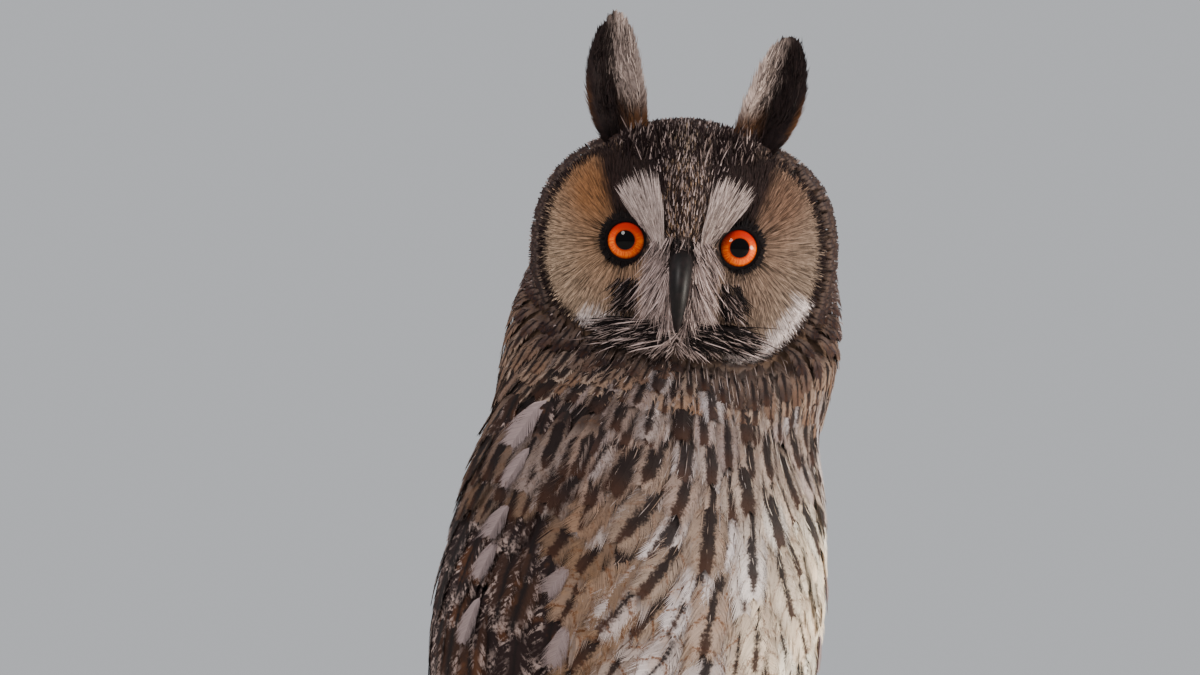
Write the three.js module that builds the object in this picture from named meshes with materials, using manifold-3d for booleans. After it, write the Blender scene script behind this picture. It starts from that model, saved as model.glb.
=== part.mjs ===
// A life-size long-eared owl, standing upright on a cut length of branch.
// The branch is held over a round base by two rods. Millimetres, +Z up, the base's underside at z = 0.
//
// Body frame: x to the owl's right, y forward, z up. Head frame: the same, about a point between the eyes.
import * as THREE from "three";
import { mergeVertices } from "three/addons/utils/BufferGeometryUtils.js";
import Module from "manifold-3d";

const wasm = await Module();
wasm.setup();

const DEG = Math.PI / 180;
const GAP = 0.3; // kept between solids that touch

// Stand and perch
const BASE_RADIUS = 96;
const BASE_HEIGHT = 12;
const BASE_BEVEL = 2;
const ROD_RADIUS = 4;
const ROD_SIDE = 60; // each rod's distance from the middle of the branch
const PERCH_RADIUS = 15;
const PERCH_HEIGHT = 105; // height of the branch's axis
const PERCH_HALF_LENGTH = 84;

// Pose
const BODY_TURN = 216 * DEG; // 180 would face -Y; the body faces 36 degrees to the owl's left of that
const HEAD_TURN = -36 * DEG; // the head turns back to face -Y
const HEAD_ROLL = -4 * DEG;
const HEAD_PITCH = -4 * DEG;
const HEAD_PLACE = new THREE.Vector3(0, 25.8, 322);

// Outline of the body with its wings folded, from the neck to the wing tips:
// height, half width, and where the widest line, the front and the back lie along y
const BODY_STATIONS = [
  [288, 56, 15, 48.5, -21],
  [265, 57, 9, 52, -33],
  [239, 61.4, 2.3, 54.3, -45.7],
  [214, 64.9, -3.7, 53.3, -54],
  [188, 65, -7.5, 46.5, -56],
  [170, 61, -10, 37, -56.5],
  [155, 54, -14, 25, -57],
  [142, 46, -20, 8, -57],
  [130, 39, -28, -11, -57],
  [118, 34, -36, -25, -57],
  [100, 30, -41, -32, -58],
  [60, 25, -46, -36, -60.5],
  [16, 19, -50, -40, -63],
];
// Outline of the neck, which turns with the head, along the head's own axes:
// height, middle and half width along x, and the widest line, front and back along y
const NECK_STATIONS = [
  [334, 0, 36, -15, -6, -30],
  [322, 0.3, 45.5, -14, 0, -37],
  [312, 1.4, 48.5, -13, 4, -38.5],
  [302, 2.6, 51, -12, 8, -39.5],
  [292, 3.6, 52.5, -11, 13, -41],
  [282, 4.2, 53, -10, 20, -43.5],
  [262, 4.2, 53, -10, 26, -47],
];
const NECK_TURNS_FROM = 258; // heights between which the neck takes up the head's turn
const NECK_TURNS_TO = 286;
const TORSO_END = 94; // height of the tip of the under-tail feathers
const NECK_FLOOR = 262;
const NECK_FLOOR_TILT = 10 * DEG;

// Wing
const WING_DEPTH = 8; // from the outline in to the torso's side
const WING_LEAD = 54; // degrees round the body from the front to the wing's front edge
const WING_TRAIL = 175;
const WING_TOP = 262;
const WING_CORE_END = 148;
const WING_CORE_INSET = 3;
const WING_CORE_UNDER = 5.8;
const WING_ROOT_INSET = 9.5; // at the shoulder, where the wing meets the torso
const WING_MEETING = 0.6; // from the middle of the back to each wing
const SHINGLE = 0.15; // sideways slope of each feather, so that it lies over its neighbour

// Tail
const TAIL_ROOT_HEIGHT = 124;
const TAIL_TIP_HEIGHT = 24;
const TAIL_ROOT_Y = -43;
const TAIL_SLOPE = 0.108;

// Legs
const LEG_SIDE = 17;
const LEG_TOP = 166;
const ANKLE_HEIGHT = 128;
const TOE_RADIUS = 4.7;

// Head
const IRIS_SIDE = 17.9; // from the middle of the face to the middle of each iris
const EYE_BALL_RADIUS = 8.6;
const EYE_BALL_Y = 17;
const EYE_OUTWARD = 8 * DEG; // each eye looks this far out from straight ahead
const EYE_BALL_SIDE = IRIS_SIDE - EYE_BALL_RADIUS * Math.sin(EYE_OUTWARD);
const LID_RADIUS = 7.5;
const LID_THICKNESS = 1.1;
const HEAD_BACK = 38; // from the eye line's middle to the back of the head
// Facial disc: degrees round the face from the owl's right, and distance to the rim
const DISC_RIM = [
  [-90, 31],
  [-70, 37.5],
  [-52, 44],
  [-28, 45.5],
  [0, 44.5],
  [25, 43.5],
  [45, 40],
  [66, 37],
  [90, 36.5],
];
// Ear tufts. The owl holds the left one a little lower and further out than the right.
const TUFT_BASE = new THREE.Vector3(20, 3, 30);
const TUFT_TIPS = { right: new THREE.Vector3(25.6, 2, 71), left: new THREE.Vector3(28.8, 2, 67.6) };
const TUFT_BULGE = 1.8; // how far its middle bends outward
const TUFT_WIDTH = 19.6;
const TUFT_VANE_WIDTH = 7.4;

// Helpers

// A smooth curve through rows of numbers, read at x, the first number of each row.
function alongTable(rows, x) {
  const rising = rows[1][0] > rows[0][0];
  const sorted = rising ? rows : [...rows].reverse();
  const last = sorted.length - 1;
  const at = Math.min(Math.max(x, sorted[0][0]), sorted[last][0]);
  let i = 0;
  while (i < last - 1 && at > sorted[i + 1][0]) i++;
  const t = (at - sorted[i][0]) / (sorted[i + 1][0] - sorted[i][0]);
  const slope = (k, c) => {
    const a = sorted[Math.max(k - 1, 0)];
    const b = sorted[Math.min(k + 1, last)];
    return (b[c] - a[c]) / (b[0] - a[0]);
  };
  const span = sorted[i + 1][0] - sorted[i][0];
  return sorted[i].slice(1).map((from, k) => {
    const to = sorted[i + 1][k + 1];
    const h = t * t * (3 - 2 * t);
    const m0 = slope(i, k + 1) * span * (t - 2 * t * t + t * t * t);
    const m1 = slope(i + 1, k + 1) * span * (t * t * t - t * t);
    return from + (to - from) * h + m0 + m1;
  });
}

// 0 at from, 1 at to, eased at both ends. From may be the larger.
function smooth(from, to, x) {
  const t = THREE.MathUtils.clamp((x - from) / (to - from), 0, 1);
  return t * t * (3 - 2 * t);
}
const bell = (x, width) => Math.exp(-((x / width) ** 2));

// A repeatable draw between -1 and 1.
function draws(seed) {
  let state = seed;
  return () => {
    state = (state * 1664525 + 1013904223) % 4294967296;
    return state / 2147483648 - 1;
  };
}

function geometryOf(points, triangles) {
  const g = new THREE.BufferGeometry();
  const flat = points.flatMap((p) => [p.x, p.y, p.z]);
  g.setAttribute("position", new THREE.Float32BufferAttribute(flat, 3));
  g.setIndex(triangles);
  return g;
}

// Rings of points joined into a closed skin, with a pole at each end.
function skin(rings, firstPole, lastPole) {
  const n = rings[0].length;
  const points = [...rings.flat(), firstPole, lastPole];
  const first = rings.length * n;
  const triangles = [];
  for (let k = 0; k < rings.length - 1; k++) {
    for (let j = 0; j < n; j++) {
      const a = k * n + j;
      const b = k * n + ((j + 1) % n);
      triangles.push(a, b, b + n, a, b + n, a + n);
    }
  }
  for (let j = 0; j < n; j++) {
    const next = (j + 1) % n;
    triangles.push(first, next, j);
    triangles.push(first + 1, first - n + j, first - n + next);
  }
  return geometryOf(points, triangles);
}

// A slab between two grids of points, split into triangles alike on both faces.
function slab(top, bottom) {
  const n = top.length;
  const m = top[0].length;
  const at = (k, j, under) => (under ? n * m : 0) + k * m + j;
  const triangles = [];
  for (let k = 0; k < n - 1; k++) {
    for (let j = 0; j < m - 1; j++) {
      for (const under of [false, true]) {
        const a = at(k, j, under);
        const b = at(k, j + 1, under);
        const c = at(k + 1, j + 1, under);
        const d = at(k + 1, j, under);
        triangles.push(...(under ? [a, c, b, a, d, c] : [a, b, c, a, c, d]));
      }
    }
  }
  const edge = [];
  for (let j = 0; j < m - 1; j++) edge.push([0, j]);
  for (let k = 0; k < n - 1; k++) edge.push([k, m - 1]);
  for (let j = m - 1; j > 0; j--) edge.push([n - 1, j]);
  for (let k = n - 1; k > 0; k--) edge.push([k, 0]);
  edge.forEach(([k, j], i) => {
    const [k2, j2] = edge[(i + 1) % edge.length];
    const a = at(k, j, false);
    const b = at(k2, j2, false);
    triangles.push(a, b + n * m, b, a, a + n * m, b + n * m);
  });
  return geometryOf([...top.flat(), ...bottom.flat()], triangles);
}

function solid(geometry) {
  const bare = geometry.index ? geometry.clone() : geometry.toNonIndexed();
  bare.deleteAttribute("normal");
  bare.deleteAttribute("uv");
  const merged = mergeVertices(bare, 1e-4);
  const made = new wasm.Manifold(
    new wasm.Mesh({
      numProp: 3,
      vertProperties: new Float32Array(merged.attributes.position.array),
      triVerts: new Uint32Array(merged.index.array),
    }),
  );
  if (made.volume() >= 0) return made;
  const turned = merged.index.array;
  for (let i = 0; i < turned.length; i += 3) {
    [turned[i + 1], turned[i + 2]] = [turned[i + 2], turned[i + 1]];
  }
  return solid(merged);
}

function geometryFrom(made) {
  const mesh = made.getMesh();
  const g = new THREE.BufferGeometry();
  g.setAttribute("position", new THREE.BufferAttribute(mesh.vertProperties, 3));
  g.setIndex(new THREE.BufferAttribute(mesh.triVerts, 1));
  return g;
}

const moved = (made, matrix) => solid(geometryFrom(made).applyMatrix4(matrix));

// The same solid, larger all round by a distance.
function swollen(made, distance) {
  const g = geometryFrom(made);
  g.computeVertexNormals();
  const place = g.attributes.position;
  const normal = g.attributes.normal;
  for (let i = 0; i < place.count; i++) {
    place.setXYZ(
      i,
      place.getX(i) + normal.getX(i) * distance,
      place.getY(i) + normal.getY(i) * distance,
      place.getZ(i) + normal.getZ(i) * distance,
    );
  }
  g.deleteAttribute("normal");
  return solid(g);
}

// The largest closed surface of a solid.
function largest(made) {
  return made.decompose().reduce((a, b) => (b.volume() > a.volume() ? b : a));
}

const joined = (pieces) => largest(pieces.reduce((a, b) => a.add(b)));

// A tube along points, with a radius at each.
function tube(centres, radii, sides) {
  const rings = centres.map((c, k) => {
    const ahead = centres[Math.min(k + 1, centres.length - 1)].clone();
    const along = ahead.sub(centres[Math.max(k - 1, 0)]).normalize();
    const pick = Math.abs(along.x) < 0.8 ? new THREE.Vector3(1, 0, 0) : new THREE.Vector3(0, 0, 1);
    const u = pick.sub(along.clone().multiplyScalar(pick.dot(along))).normalize();
    const v = along.clone().cross(u);
    return Array.from({ length: sides }, (_, j) => {
      const turn = (j / sides) * 2 * Math.PI;
      const across = u.clone().multiplyScalar(radii[k] * Math.cos(turn));
      return c.clone().add(across).add(v.clone().multiplyScalar(radii[k] * Math.sin(turn)));
    });
  });
  return solid(skin(rings, centres[0], centres[centres.length - 1]));
}

// Body

// A point round an oval with its own front and back. Turn is in degrees from the front to the right.
function roundOval(turn, [half, middle, front, back], inset, height) {
  const forward = Math.cos(turn * DEG);
  const depth = forward > 0 ? front - middle : middle - back;
  return new THREE.Vector3(
    (half - inset) * Math.sin(turn * DEG),
    middle + (depth - inset) * forward,
    height,
  );
}

function neckOutline(turn, height, inset) {
  const [across, ...oval] = alongTable(NECK_STATIONS, height);
  const point = roundOval(turn + HEAD_TURN / DEG, oval, inset, 0).add(new THREE.Vector3(across, 0, 0));
  point.applyAxisAngle(new THREE.Vector3(0, 0, 1), HEAD_TURN);
  return point.add(HEAD_PLACE).setZ(height);
}

// A point of the body's outline. Turn is in degrees from the front towards the owl's right.
function outline(turn, height, inset) {
  const ofBody = roundOval(turn, alongTable(BODY_STATIONS, height), inset, height);
  if (height <= NECK_TURNS_FROM) return ofBody;
  const share = smooth(NECK_TURNS_FROM, NECK_TURNS_TO, height);
  return ofBody.lerp(neckOutline(turn, height, inset), share);
}

function outwardFrom(turn, height) {
  const across = outline(turn + 2, height, 0).sub(outline(turn - 2, height, 0));
  const down = outline(turn, height - 3, 0).sub(outline(turn, height + 3, 0));
  return down.cross(across).normalize();
}

// How far the torso's side lies inside the outline, where a wing covers it.
function torsoInset(turn, height) {
  const round = Math.abs(((turn + 180) % 360) - 180);
  const lead = smooth(WING_LEAD - 5, WING_LEAD + 9, round);
  const mantle = smooth(138, 152, round) * smooth(222, 244, height);
  const reach = smooth(WING_TOP + 6, WING_TOP - 12, height);
  const low = smooth(TORSO_END + 8, TORSO_END - 4, height);
  return (WING_DEPTH + GAP) * lead * (1 - mantle) * reach + 6 * low;
}

function bodyBlank() {
  const sides = 38;
  const heights = [];
  for (let h = 334; h > 190; h -= 10) heights.push(h);
  for (let h = 182; h > TORSO_END + 8; h -= 8) heights.push(h);
  heights.push(TORSO_END + 4);
  const rings = heights.map((h) =>
    Array.from({ length: sides }, (_, j) => {
      const turn = (j / sides) * 360;
      return outline(turn, h, torsoInset(turn, h));
    }),
  );
  const top = neckOutline(180, 334, 20);
  const end = new THREE.Vector3(0, -38, TORSO_END);
  return solid(skin(rings, top, end));
}

// Head

const rimRadius = (angle) => {
  const folded = Math.abs(angle) > 90 ? Math.sign(angle) * 180 - angle : angle;
  return alongTable(DISC_RIM, folded)[0];
};

// How far the face stands forward at a place x, z of the head frame.
function faceDepth(x, z) {
  const side = Math.abs(x);
  const share = Math.hypot(x, z) / rimRadius(Math.atan2(z, side) / DEG);
  const wedge = 31 - 23 * (side / 44.5) ** 1.8;
  const slope = z > 0 ? -19 * (z / 36) ** 2 : -13 * (z / 36) ** 2;
  const ridge = 6.5 * bell(x, 5 + 5 * smooth(0, 26, z)) * (1 - smooth(20, 36, z) * 0.7);
  const socket = -4.5 * bell(Math.hypot(side - IRIS_SIDE, z), 11);
  const brow = 3.2 * bell(side - 6 - 0.42 * (z - 3), 4.2) * smooth(-2, 8, z) * smooth(30, 20, z);
  const muzzle = 4.5 * bell(side - 6, 5) * bell(z + 17, 9);
  const rim = 2.4 * bell(share - 0.93, 0.07);
  return wedge + slope + ridge + socket + brow + muzzle + rim;
}

function headBlank() {
  const sides = 42;
  const face = [0.12, 0.25, 0.36, 0.47, 0.58, 0.69, 0.79, 0.87, 0.93, 1];
  const back = [0.07, 0.2, 0.38, 0.57, 0.74, 0.88, 0.96];
  const around = (k) => (k / sides) * 2 * Math.PI;
  const angleOf = (k) => Math.atan2(Math.sin(around(k)), Math.cos(around(k))) / DEG;
  const rings = face.map((share) =>
    Array.from({ length: sides }, (_, k) => {
      const reach = share * rimRadius(angleOf(k));
      const x = reach * Math.cos(around(k));
      const z = reach * Math.sin(around(k));
      return new THREE.Vector3(x, faceDepth(x, z), z);
    }),
  );
  back.forEach((share) => {
    rings.push(
      Array.from({ length: sides }, (_, k) => {
        const rim = rimRadius(angleOf(k));
        const reach = (rim + 3.2 * smooth(0, 0.2, share)) * (1 - share ** 2.5) ** (1 / 2.1);
        const x = reach * Math.cos(around(k));
        const z = reach * Math.sin(around(k));
        const from = faceDepth(rim * Math.cos(around(k)), rim * Math.sin(around(k)));
        return new THREE.Vector3(x, from - (from + HEAD_BACK) * share, z);
      }),
    );
  });
  const front = new THREE.Vector3(0, faceDepth(0, 0), 0);
  return solid(skin(rings, front, new THREE.Vector3(0, -HEAD_BACK, 0)));
}

// Places a piece made about the origin, facing +Y, at an eye.
function atEye(side) {
  return new THREE.Matrix4()
    .makeRotationZ(-side * EYE_OUTWARD)
    .setPosition(side * EYE_BALL_SIDE, EYE_BALL_Y, 0);
}

// The front of an eyeball, whose centre is the origin, facing +Y.
function eyeDome(radius) {
  const profile = [new THREE.Vector2(0, radius)];
  for (let a = 15; a <= 75; a += 15) {
    profile.push(new THREE.Vector2(radius * Math.sin(a * DEG), radius * Math.cos(a * DEG)));
  }
  const floor = radius * Math.cos(75 * DEG) - 1 - (radius - EYE_BALL_RADIUS);
  profile.push(new THREE.Vector2(radius * Math.sin(75 * DEG), floor));
  profile.push(new THREE.Vector2(0, floor));
  return new THREE.LatheGeometry(profile.reverse(), 20);
}

function lidRing() {
  const ring = new THREE.TorusGeometry(LID_RADIUS, LID_THICKNESS, 5, 18);
  return ring.rotateX(90 * DEG).translate(0, EYE_BALL_RADIUS - 3.3, 0);
}

function headWithLids(blank) {
  let made = blank;
  for (const side of [1, -1]) {
    made = made.add(solid(lidRing().applyMatrix4(atEye(side))));
  }
  for (const side of [1, -1]) {
    made = made.subtract(solid(eyeDome(EYE_BALL_RADIUS + GAP).applyMatrix4(atEye(side))));
  }
  return made;
}

// Bill, as sections along a curve: y, z, half width, half thickness
function billPart(sections) {
  const sides = 10;
  const centres = sections.map(([y, z]) => new THREE.Vector3(0, y, z));
  const rings = sections.map(([, , half, thick], k) => {
    const ahead = centres[Math.min(k + 1, centres.length - 1)].clone();
    const along = ahead.sub(centres[Math.max(k - 1, 0)]).normalize();
    const over = new THREE.Vector3(1, 0, 0).cross(along).normalize();
    return Array.from({ length: sides }, (_, j) => {
      const turn = (j / sides) * 2 * Math.PI;
      const rise = thick * Math.sin(turn);
      return centres[k].clone().add(over.clone().multiplyScalar(rise)).setX(half * Math.cos(turn));
    });
  });
  return solid(skin(rings, centres[0], centres[centres.length - 1]));
}

function billUpper() {
  const horn = billPart([
    [29, -3.5, 3.9, 4.4],
    [34.5, -5.6, 3.8, 4.5],
    [38.2, -9.6, 3.5, 4.3],
    [40.2, -14.6, 3, 3.6],
    [40.4, -19.6, 2.3, 2.8],
    [38.8, -24, 1.5, 1.8],
    [36.2, -27.2, 0.6, 0.8],
  ]);
  const nostril = new THREE.SphereGeometry(0.9, 6, 4).scale(0.8, 1, 1.3);
  return [1, -1].reduce(
    (made, side) => made.subtract(solid(nostril.clone().translate(side * 3.6, 36.8, -8))),
    horn,
  );
}

function billLower() {
  return billPart([
    [25, -18, 3, 2.2],
    [30, -20.4, 2.7, 2],
    [33.4, -23.8, 1.9, 1.4],
    [34.8, -26.6, 0.8, 0.7],
  ]);
}

// Vanes

// One feather: a thin blade along a path, widest in its outer half, with a round tip.
function vane({ path, outward, width, thick = 0.9, stations = 5, bowed = false, tilt = 0 }) {
  const top = [];
  const bottom = [];
  for (let k = 0; k < stations; k++) {
    const t = k / (stations - 1);
    const here = path(t);
    const along = path(Math.min(t + 0.02, 1)).sub(path(Math.max(t - 0.02, 0))).normalize();
    const out = outward(t);
    const across = along.clone().cross(out).normalize();
    const up = across.clone().cross(along).normalize();
    const half = (width / 2) * (0.45 + 0.55 * smooth(0, 0.4, t)) * (1 - 0.72 * t ** 7);
    const places = bowed ? [-1, 0, 1] : [-1, 1];
    const at = (place, lift) => {
      const sag = bowed ? (Math.abs(place) * half * half) / 110 : 0;
      return here
        .clone()
        .add(across.clone().multiplyScalar(place * half))
        .add(up.clone().multiplyScalar(lift - sag + place * half * tilt));
    };
    const lift = (place) => (thick / 2) * (place && bowed ? 0.65 : 1);
    top.push(places.map((p) => at(p, lift(p))));
    bottom.push(places.map((p) => at(p, -lift(p))));
  }
  return solid(slab(top, bottom));
}

// A feather that lies along the body's outline. Turns are in degrees, mirrored for the left wing.
function bodyVane(side, from, to, width, options = {}) {
  const mix = THREE.MathUtils.lerp;
  const turnAt = (t) => side * mix(from.turn, to.turn, t);
  const heightAt = (t) => mix(from.height, to.height, t);
  // Leaves the root steeply, then rises gently to the tip
  const insetAt = (t) => from.inset - (from.inset - to.inset) * (0.55 * smooth(0, 0.16, t) + 0.45 * t);
  return vane({
    path: (t) => outline(turnAt(t), heightAt(t), insetAt(t)),
    outward: (t) => outwardFrom(turnAt(t), heightAt(t)),
    width,
    tilt: -side * SHINGLE,
    ...options,
  });
}

// Wing

function wingCore(side) {
  const rows = 8;
  const columns = 6;
  const top = [];
  const bottom = [];
  for (let k = 0; k < rows; k++) {
    const height = THREE.MathUtils.lerp(WING_TOP - 3, WING_CORE_END, k / (rows - 1));
    const narrow = smooth(WING_TOP + 2, WING_TOP - 30, height);
    const lead = THREE.MathUtils.lerp(80, WING_LEAD + 4, narrow) + 26 * smooth(185, 150, height);
    const trail = THREE.MathUtils.lerp(128, WING_TRAIL, smooth(262, 205, height));
    const end = Math.min(k, rows - 1 - k) === 0 ? 0.35 : 1;
    const row = (insetAt) =>
      Array.from({ length: columns }, (_, j) => {
        const turn = THREE.MathUtils.lerp(lead, trail, j / (columns - 1));
        return outline(side * turn, height, insetAt(j));
      });
    const rim = (j) => Math.min(j, columns - 1 - j) === 0;
    const atShoulder = (j) => (k === 1 || k === 2) && (j === 1 || j === 2);
    const under = (j) => (atShoulder(j) ? WING_ROOT_INSET : WING_CORE_UNDER);
    const over = (j) => WING_CORE_UNDER - (WING_CORE_UNDER - WING_CORE_INSET) * (rim(j) ? 0.4 : 1) * end;
    top.push(row(over));
    bottom.push(row(under));
  }
  return solid(slab(top, bottom));
}

// Coverts and scapulars, as rows of feathers: how many, and the first and last one's root and tip
function wingFeathers(side, draw) {
  const pieces = [];
  const row = (count, first, last, width, options, vary = 1) => {
    for (let i = 0; i < count; i++) {
      const s = count > 1 ? i / (count - 1) : 0;
      const mix = (key, end) => THREE.MathUtils.lerp(first[end][key], last[end][key], s);
      const place = (end, loose) => ({
        turn: mix("turn", end) + draw() * loose,
        height: mix("height", end) + draw() * loose * 1.4,
        inset: mix("inset", end),
      });
      pieces.push(
        bodyVane(side, place("root", 0), place("tip", vary), width * (1 + 0.06 * draw()), options),
      );
    }
  };
  const spot = (turn, height, inset) => ({ turn, height, inset });
  // Primaries, from the outermost and longest
  row(
    5,
    { root: spot(92, 160, 4.6), tip: spot(146, 20, 4.4) },
    { root: spot(118, 160, 4.6), tip: spot(168, 70, 1.6) },
    12,
    { thick: 0.6 },
    0.3,
  );
  // Secondaries, from the outermost
  row(
    6,
    { root: spot(72, 198, 4.4), tip: spot(90, 132, 2.2) },
    { root: spot(158, 198, 4.4), tip: spot(174, 104, 0.4) },
    18,
    { thick: 0.7 },
    0.3,
  );
  // Greater, median and lesser coverts
  const plain = { thick: 0.7, stations: 4 };
  row(
    5,
    { root: spot(61, 224, 4.2), tip: spot(67, 170, 1.2) },
    { root: spot(148, 224, 4.2), tip: spot(161, 168, 0.8) },
    20,
    plain,
  );
  row(
    5,
    { root: spot(60, 246, 4.2), tip: spot(62, 200, 0.2) },
    { root: spot(136, 246, 4.2), tip: spot(144, 200, 0) },
    19,
    plain,
  );
  row(
    3,
    { root: spot(76, 255, 4), tip: spot(70, 228, -0.6) },
    { root: spot(118, 255, 4), tip: spot(124, 228, -0.8) },
    20,
    plain,
  );
  // Scapulars, a chain down the edge of the back
  row(
    4,
    { root: spot(134, 252, 4), tip: spot(146, 214, -1.6) },
    { root: spot(160, 212, 4), tip: spot(172, 162, -1.2) },
    18,
    plain,
  );
  return pieces;
}

function wing(side, seed, keepClear) {
  const draw = draws(seed);
  // The wings meet over the back without touching
  const beyondMiddle = solid(
    new THREE.BoxGeometry(100, 200, 400).translate(side * (WING_MEETING - 50), -60, 150),
  );
  const made = joined([wingCore(side), ...wingFeathers(side, draw)]);
  return largest(made.subtract(beyondMiddle).subtract(keepClear));
}

// Tail

function tail(keepClear) {
  const pieces = [];
  const count = 12;
  for (let i = 0; i < count; i++) {
    const place = ((i + 0.5) / count) * 2 - 1; // -1 and 1 are the outer feathers
    const outer = Math.abs(place);
    const tip = TAIL_TIP_HEIGHT + 7 * outer ** 2;
    const sideAt = (t) => place * THREE.MathUtils.lerp(8, 17.5, t);
    const heightAt = (t) => THREE.MathUtils.lerp(TAIL_ROOT_HEIGHT, tip, t);
    const yAt = (t) =>
      TAIL_ROOT_Y -
      TAIL_SLOPE * (TAIL_ROOT_HEIGHT - heightAt(t)) +
      0.012 * sideAt(t) ** 2 +
      2.2 * outer * smooth(0, 0.3, t);
    pieces.push(
      vane({
        path: (t) => new THREE.Vector3(sideAt(t), yAt(t), heightAt(t)),
        outward: () => new THREE.Vector3(0.1 * place, -1, 0),
        width: 14,
        thick: 0.8,
      }),
    );
  }
  return largest(joined(pieces).subtract(keepClear));
}

// Legs and feet

function leg(side, keepClear) {
  const centres = [LEG_TOP, 152, 142, 134, ANKLE_HEIGHT + GAP].map(
    (h) => new THREE.Vector3(side * LEG_SIDE, -0.2 * (h - ANKLE_HEIGHT), h),
  );
  return largest(tube(centres, [16, 14.5, 12, 9.8, 8.6], 16).subtract(keepClear));
}

// Degrees round the branch from its top, forward positive, to a point beside it.
function roundPerch(side, degrees, above) {
  const reach = PERCH_RADIUS + above;
  return new THREE.Vector3(
    side,
    reach * Math.sin(degrees * DEG),
    PERCH_HEIGHT + reach * Math.cos(degrees * DEG),
  );
}

// Toes: where each leaves the foot, how far it splays sideways, and where it ends round the branch
const TOES = [
  { from: -4, splay: -5, end: 70 },
  { from: 4, splay: 5, end: 74 },
  { from: 4.5, splay: 8, end: -64 },
  { from: -3.5, splay: -4, end: -66 },
];

function toePoint(side, toe, share, above) {
  const across = toe.from + toe.splay * smooth(0, 1, share);
  return roundPerch(side * (LEG_SIDE + across), toe.end * share, above);
}

function foot(side) {
  const pieces = TOES.map((toe) => {
    const centres = [];
    const radii = [];
    for (let k = 0; k <= 5; k++) {
      const radius = TOE_RADIUS - 0.9 * (k / 5) + (k % 2 ? 0 : 0.25);
      centres.push(toePoint(side, toe, 0.12 + (0.88 * k) / 5, radius + 0.5));
      radii.push(radius);
    }
    return tube(centres, radii, 8);
  });
  const pad = new THREE.Vector3(side * LEG_SIDE, 0, ANKLE_HEIGHT);
  const sole = new THREE.Vector3(side * LEG_SIDE, 0, PERCH_HEIGHT + PERCH_RADIUS + 0.6);
  pieces.push(tube([pad, pad.clone().lerp(sole, 0.6), sole], [8.6, 9, 8.4], 12));
  return joined(pieces);
}

function claw(side, toe) {
  const centres = [];
  const radii = [];
  const past = Math.sign(toe.end) * 2.2; // clears the toe's end face
  for (let k = 0; k <= 5; k++) {
    const t = k / 5;
    const radius = 2.3 * (1 - t) ** 0.75 + 0.25;
    const angle = toe.end + past + Math.sign(toe.end) * 44 * t;
    const across = LEG_SIDE + toe.from + toe.splay * (1 + 0.1 * t);
    centres.push(roundPerch(side * across, angle, radius + 0.6 + 2.4 * Math.sin(t * Math.PI)));
    radii.push(radius);
  }
  return tube(centres, radii, 6);
}

// Ear tufts, as a cupped fan of narrow feathers

function earTuft(side, seed, keepClear) {
  const draw = draws(seed);
  const pieces = [];
  const count = 5;
  const tip = side > 0 ? TUFT_TIPS.right : TUFT_TIPS.left;
  const up = tip.clone().sub(TUFT_BASE);
  const reach = (TUFT_WIDTH - TUFT_VANE_WIDTH) / 2;
  for (let i = 0; i < count; i++) {
    const place = (i / (count - 1)) * 2 - 1; // -1 is the inner edge, 1 the outer
    const height = 0.83 + 0.17 * (1 - place ** 2) + 0.03 * draw();
    const spread = (t) => place * reach * (0.55 + 0.5 * Math.sin(Math.PI * t ** 0.8) - 0.3 * t);
    pieces.push(
      vane({
        path: (t) => {
          const p = TUFT_BASE.clone().add(up.clone().multiplyScalar(t * height));
          p.x += spread(t) + TUFT_BULGE * Math.sin(Math.PI * t * height);
          p.y += 3.4 * place ** 2 * Math.sin(Math.PI * t);
          p.x *= side;
          return p;
        },
        outward: () => new THREE.Vector3(-0.35 * place * side, 1, 0),
        width: TUFT_VANE_WIDTH,
        thick: 1,
        tilt: 0.16 * side,
      }),
    );
  }
  return largest(joined(pieces).subtract(keepClear));
}

// Stand and perch

function perchRadiusAt(x, turn) {
  const ripple = 0.35 * Math.sin(3 * turn + x / 9) + 0.25 * Math.sin(5 * turn - x / 6);
  const knot = 3.2 * bell(x - 52, 7) * bell(Math.atan2(Math.sin(turn - 1.9), Math.cos(turn - 1.9)), 0.6);
  return PERCH_RADIUS - 0.6 + ripple + knot;
}

function perch() {
  const sides = 18;
  const rows = 12;
  const rings = Array.from({ length: rows + 1 }, (_, k) => {
    const x = -PERCH_HALF_LENGTH + (2 * PERCH_HALF_LENGTH * k) / rows;
    return Array.from({ length: sides }, (_, j) => {
      const turn = (j / sides) * 2 * Math.PI;
      const reach = perchRadiusAt(x, turn);
      return new THREE.Vector3(x, reach * Math.cos(turn), PERCH_HEIGHT + reach * Math.sin(turn));
    });
  });
  const end = (x) => new THREE.Vector3(x, 0, PERCH_HEIGHT);
  return solid(skin(rings, end(-PERCH_HALF_LENGTH), end(PERCH_HALF_LENGTH)));
}

function base() {
  const r = BASE_RADIUS;
  const profile = [
    [0, 0],
    [r - 1, 0],
    [r, 1],
    [r, BASE_HEIGHT - BASE_BEVEL],
    [r - BASE_BEVEL, BASE_HEIGHT],
    [0, BASE_HEIGHT],
  ].map(([x, y]) => new THREE.Vector2(x, y));
  return solid(new THREE.LatheGeometry(profile, 40).rotateX(90 * DEG));
}

function rod(side, keepClear) {
  const length = PERCH_HEIGHT - BASE_HEIGHT - GAP;
  const bar = new THREE.CylinderGeometry(ROD_RADIUS, ROD_RADIUS, length, 20)
    .rotateX(90 * DEG)
    .translate(side * ROD_SIDE, 0, BASE_HEIGHT + GAP + length / 2);
  return largest(solid(bar).subtract(keepClear));
}

// Assembly

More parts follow.
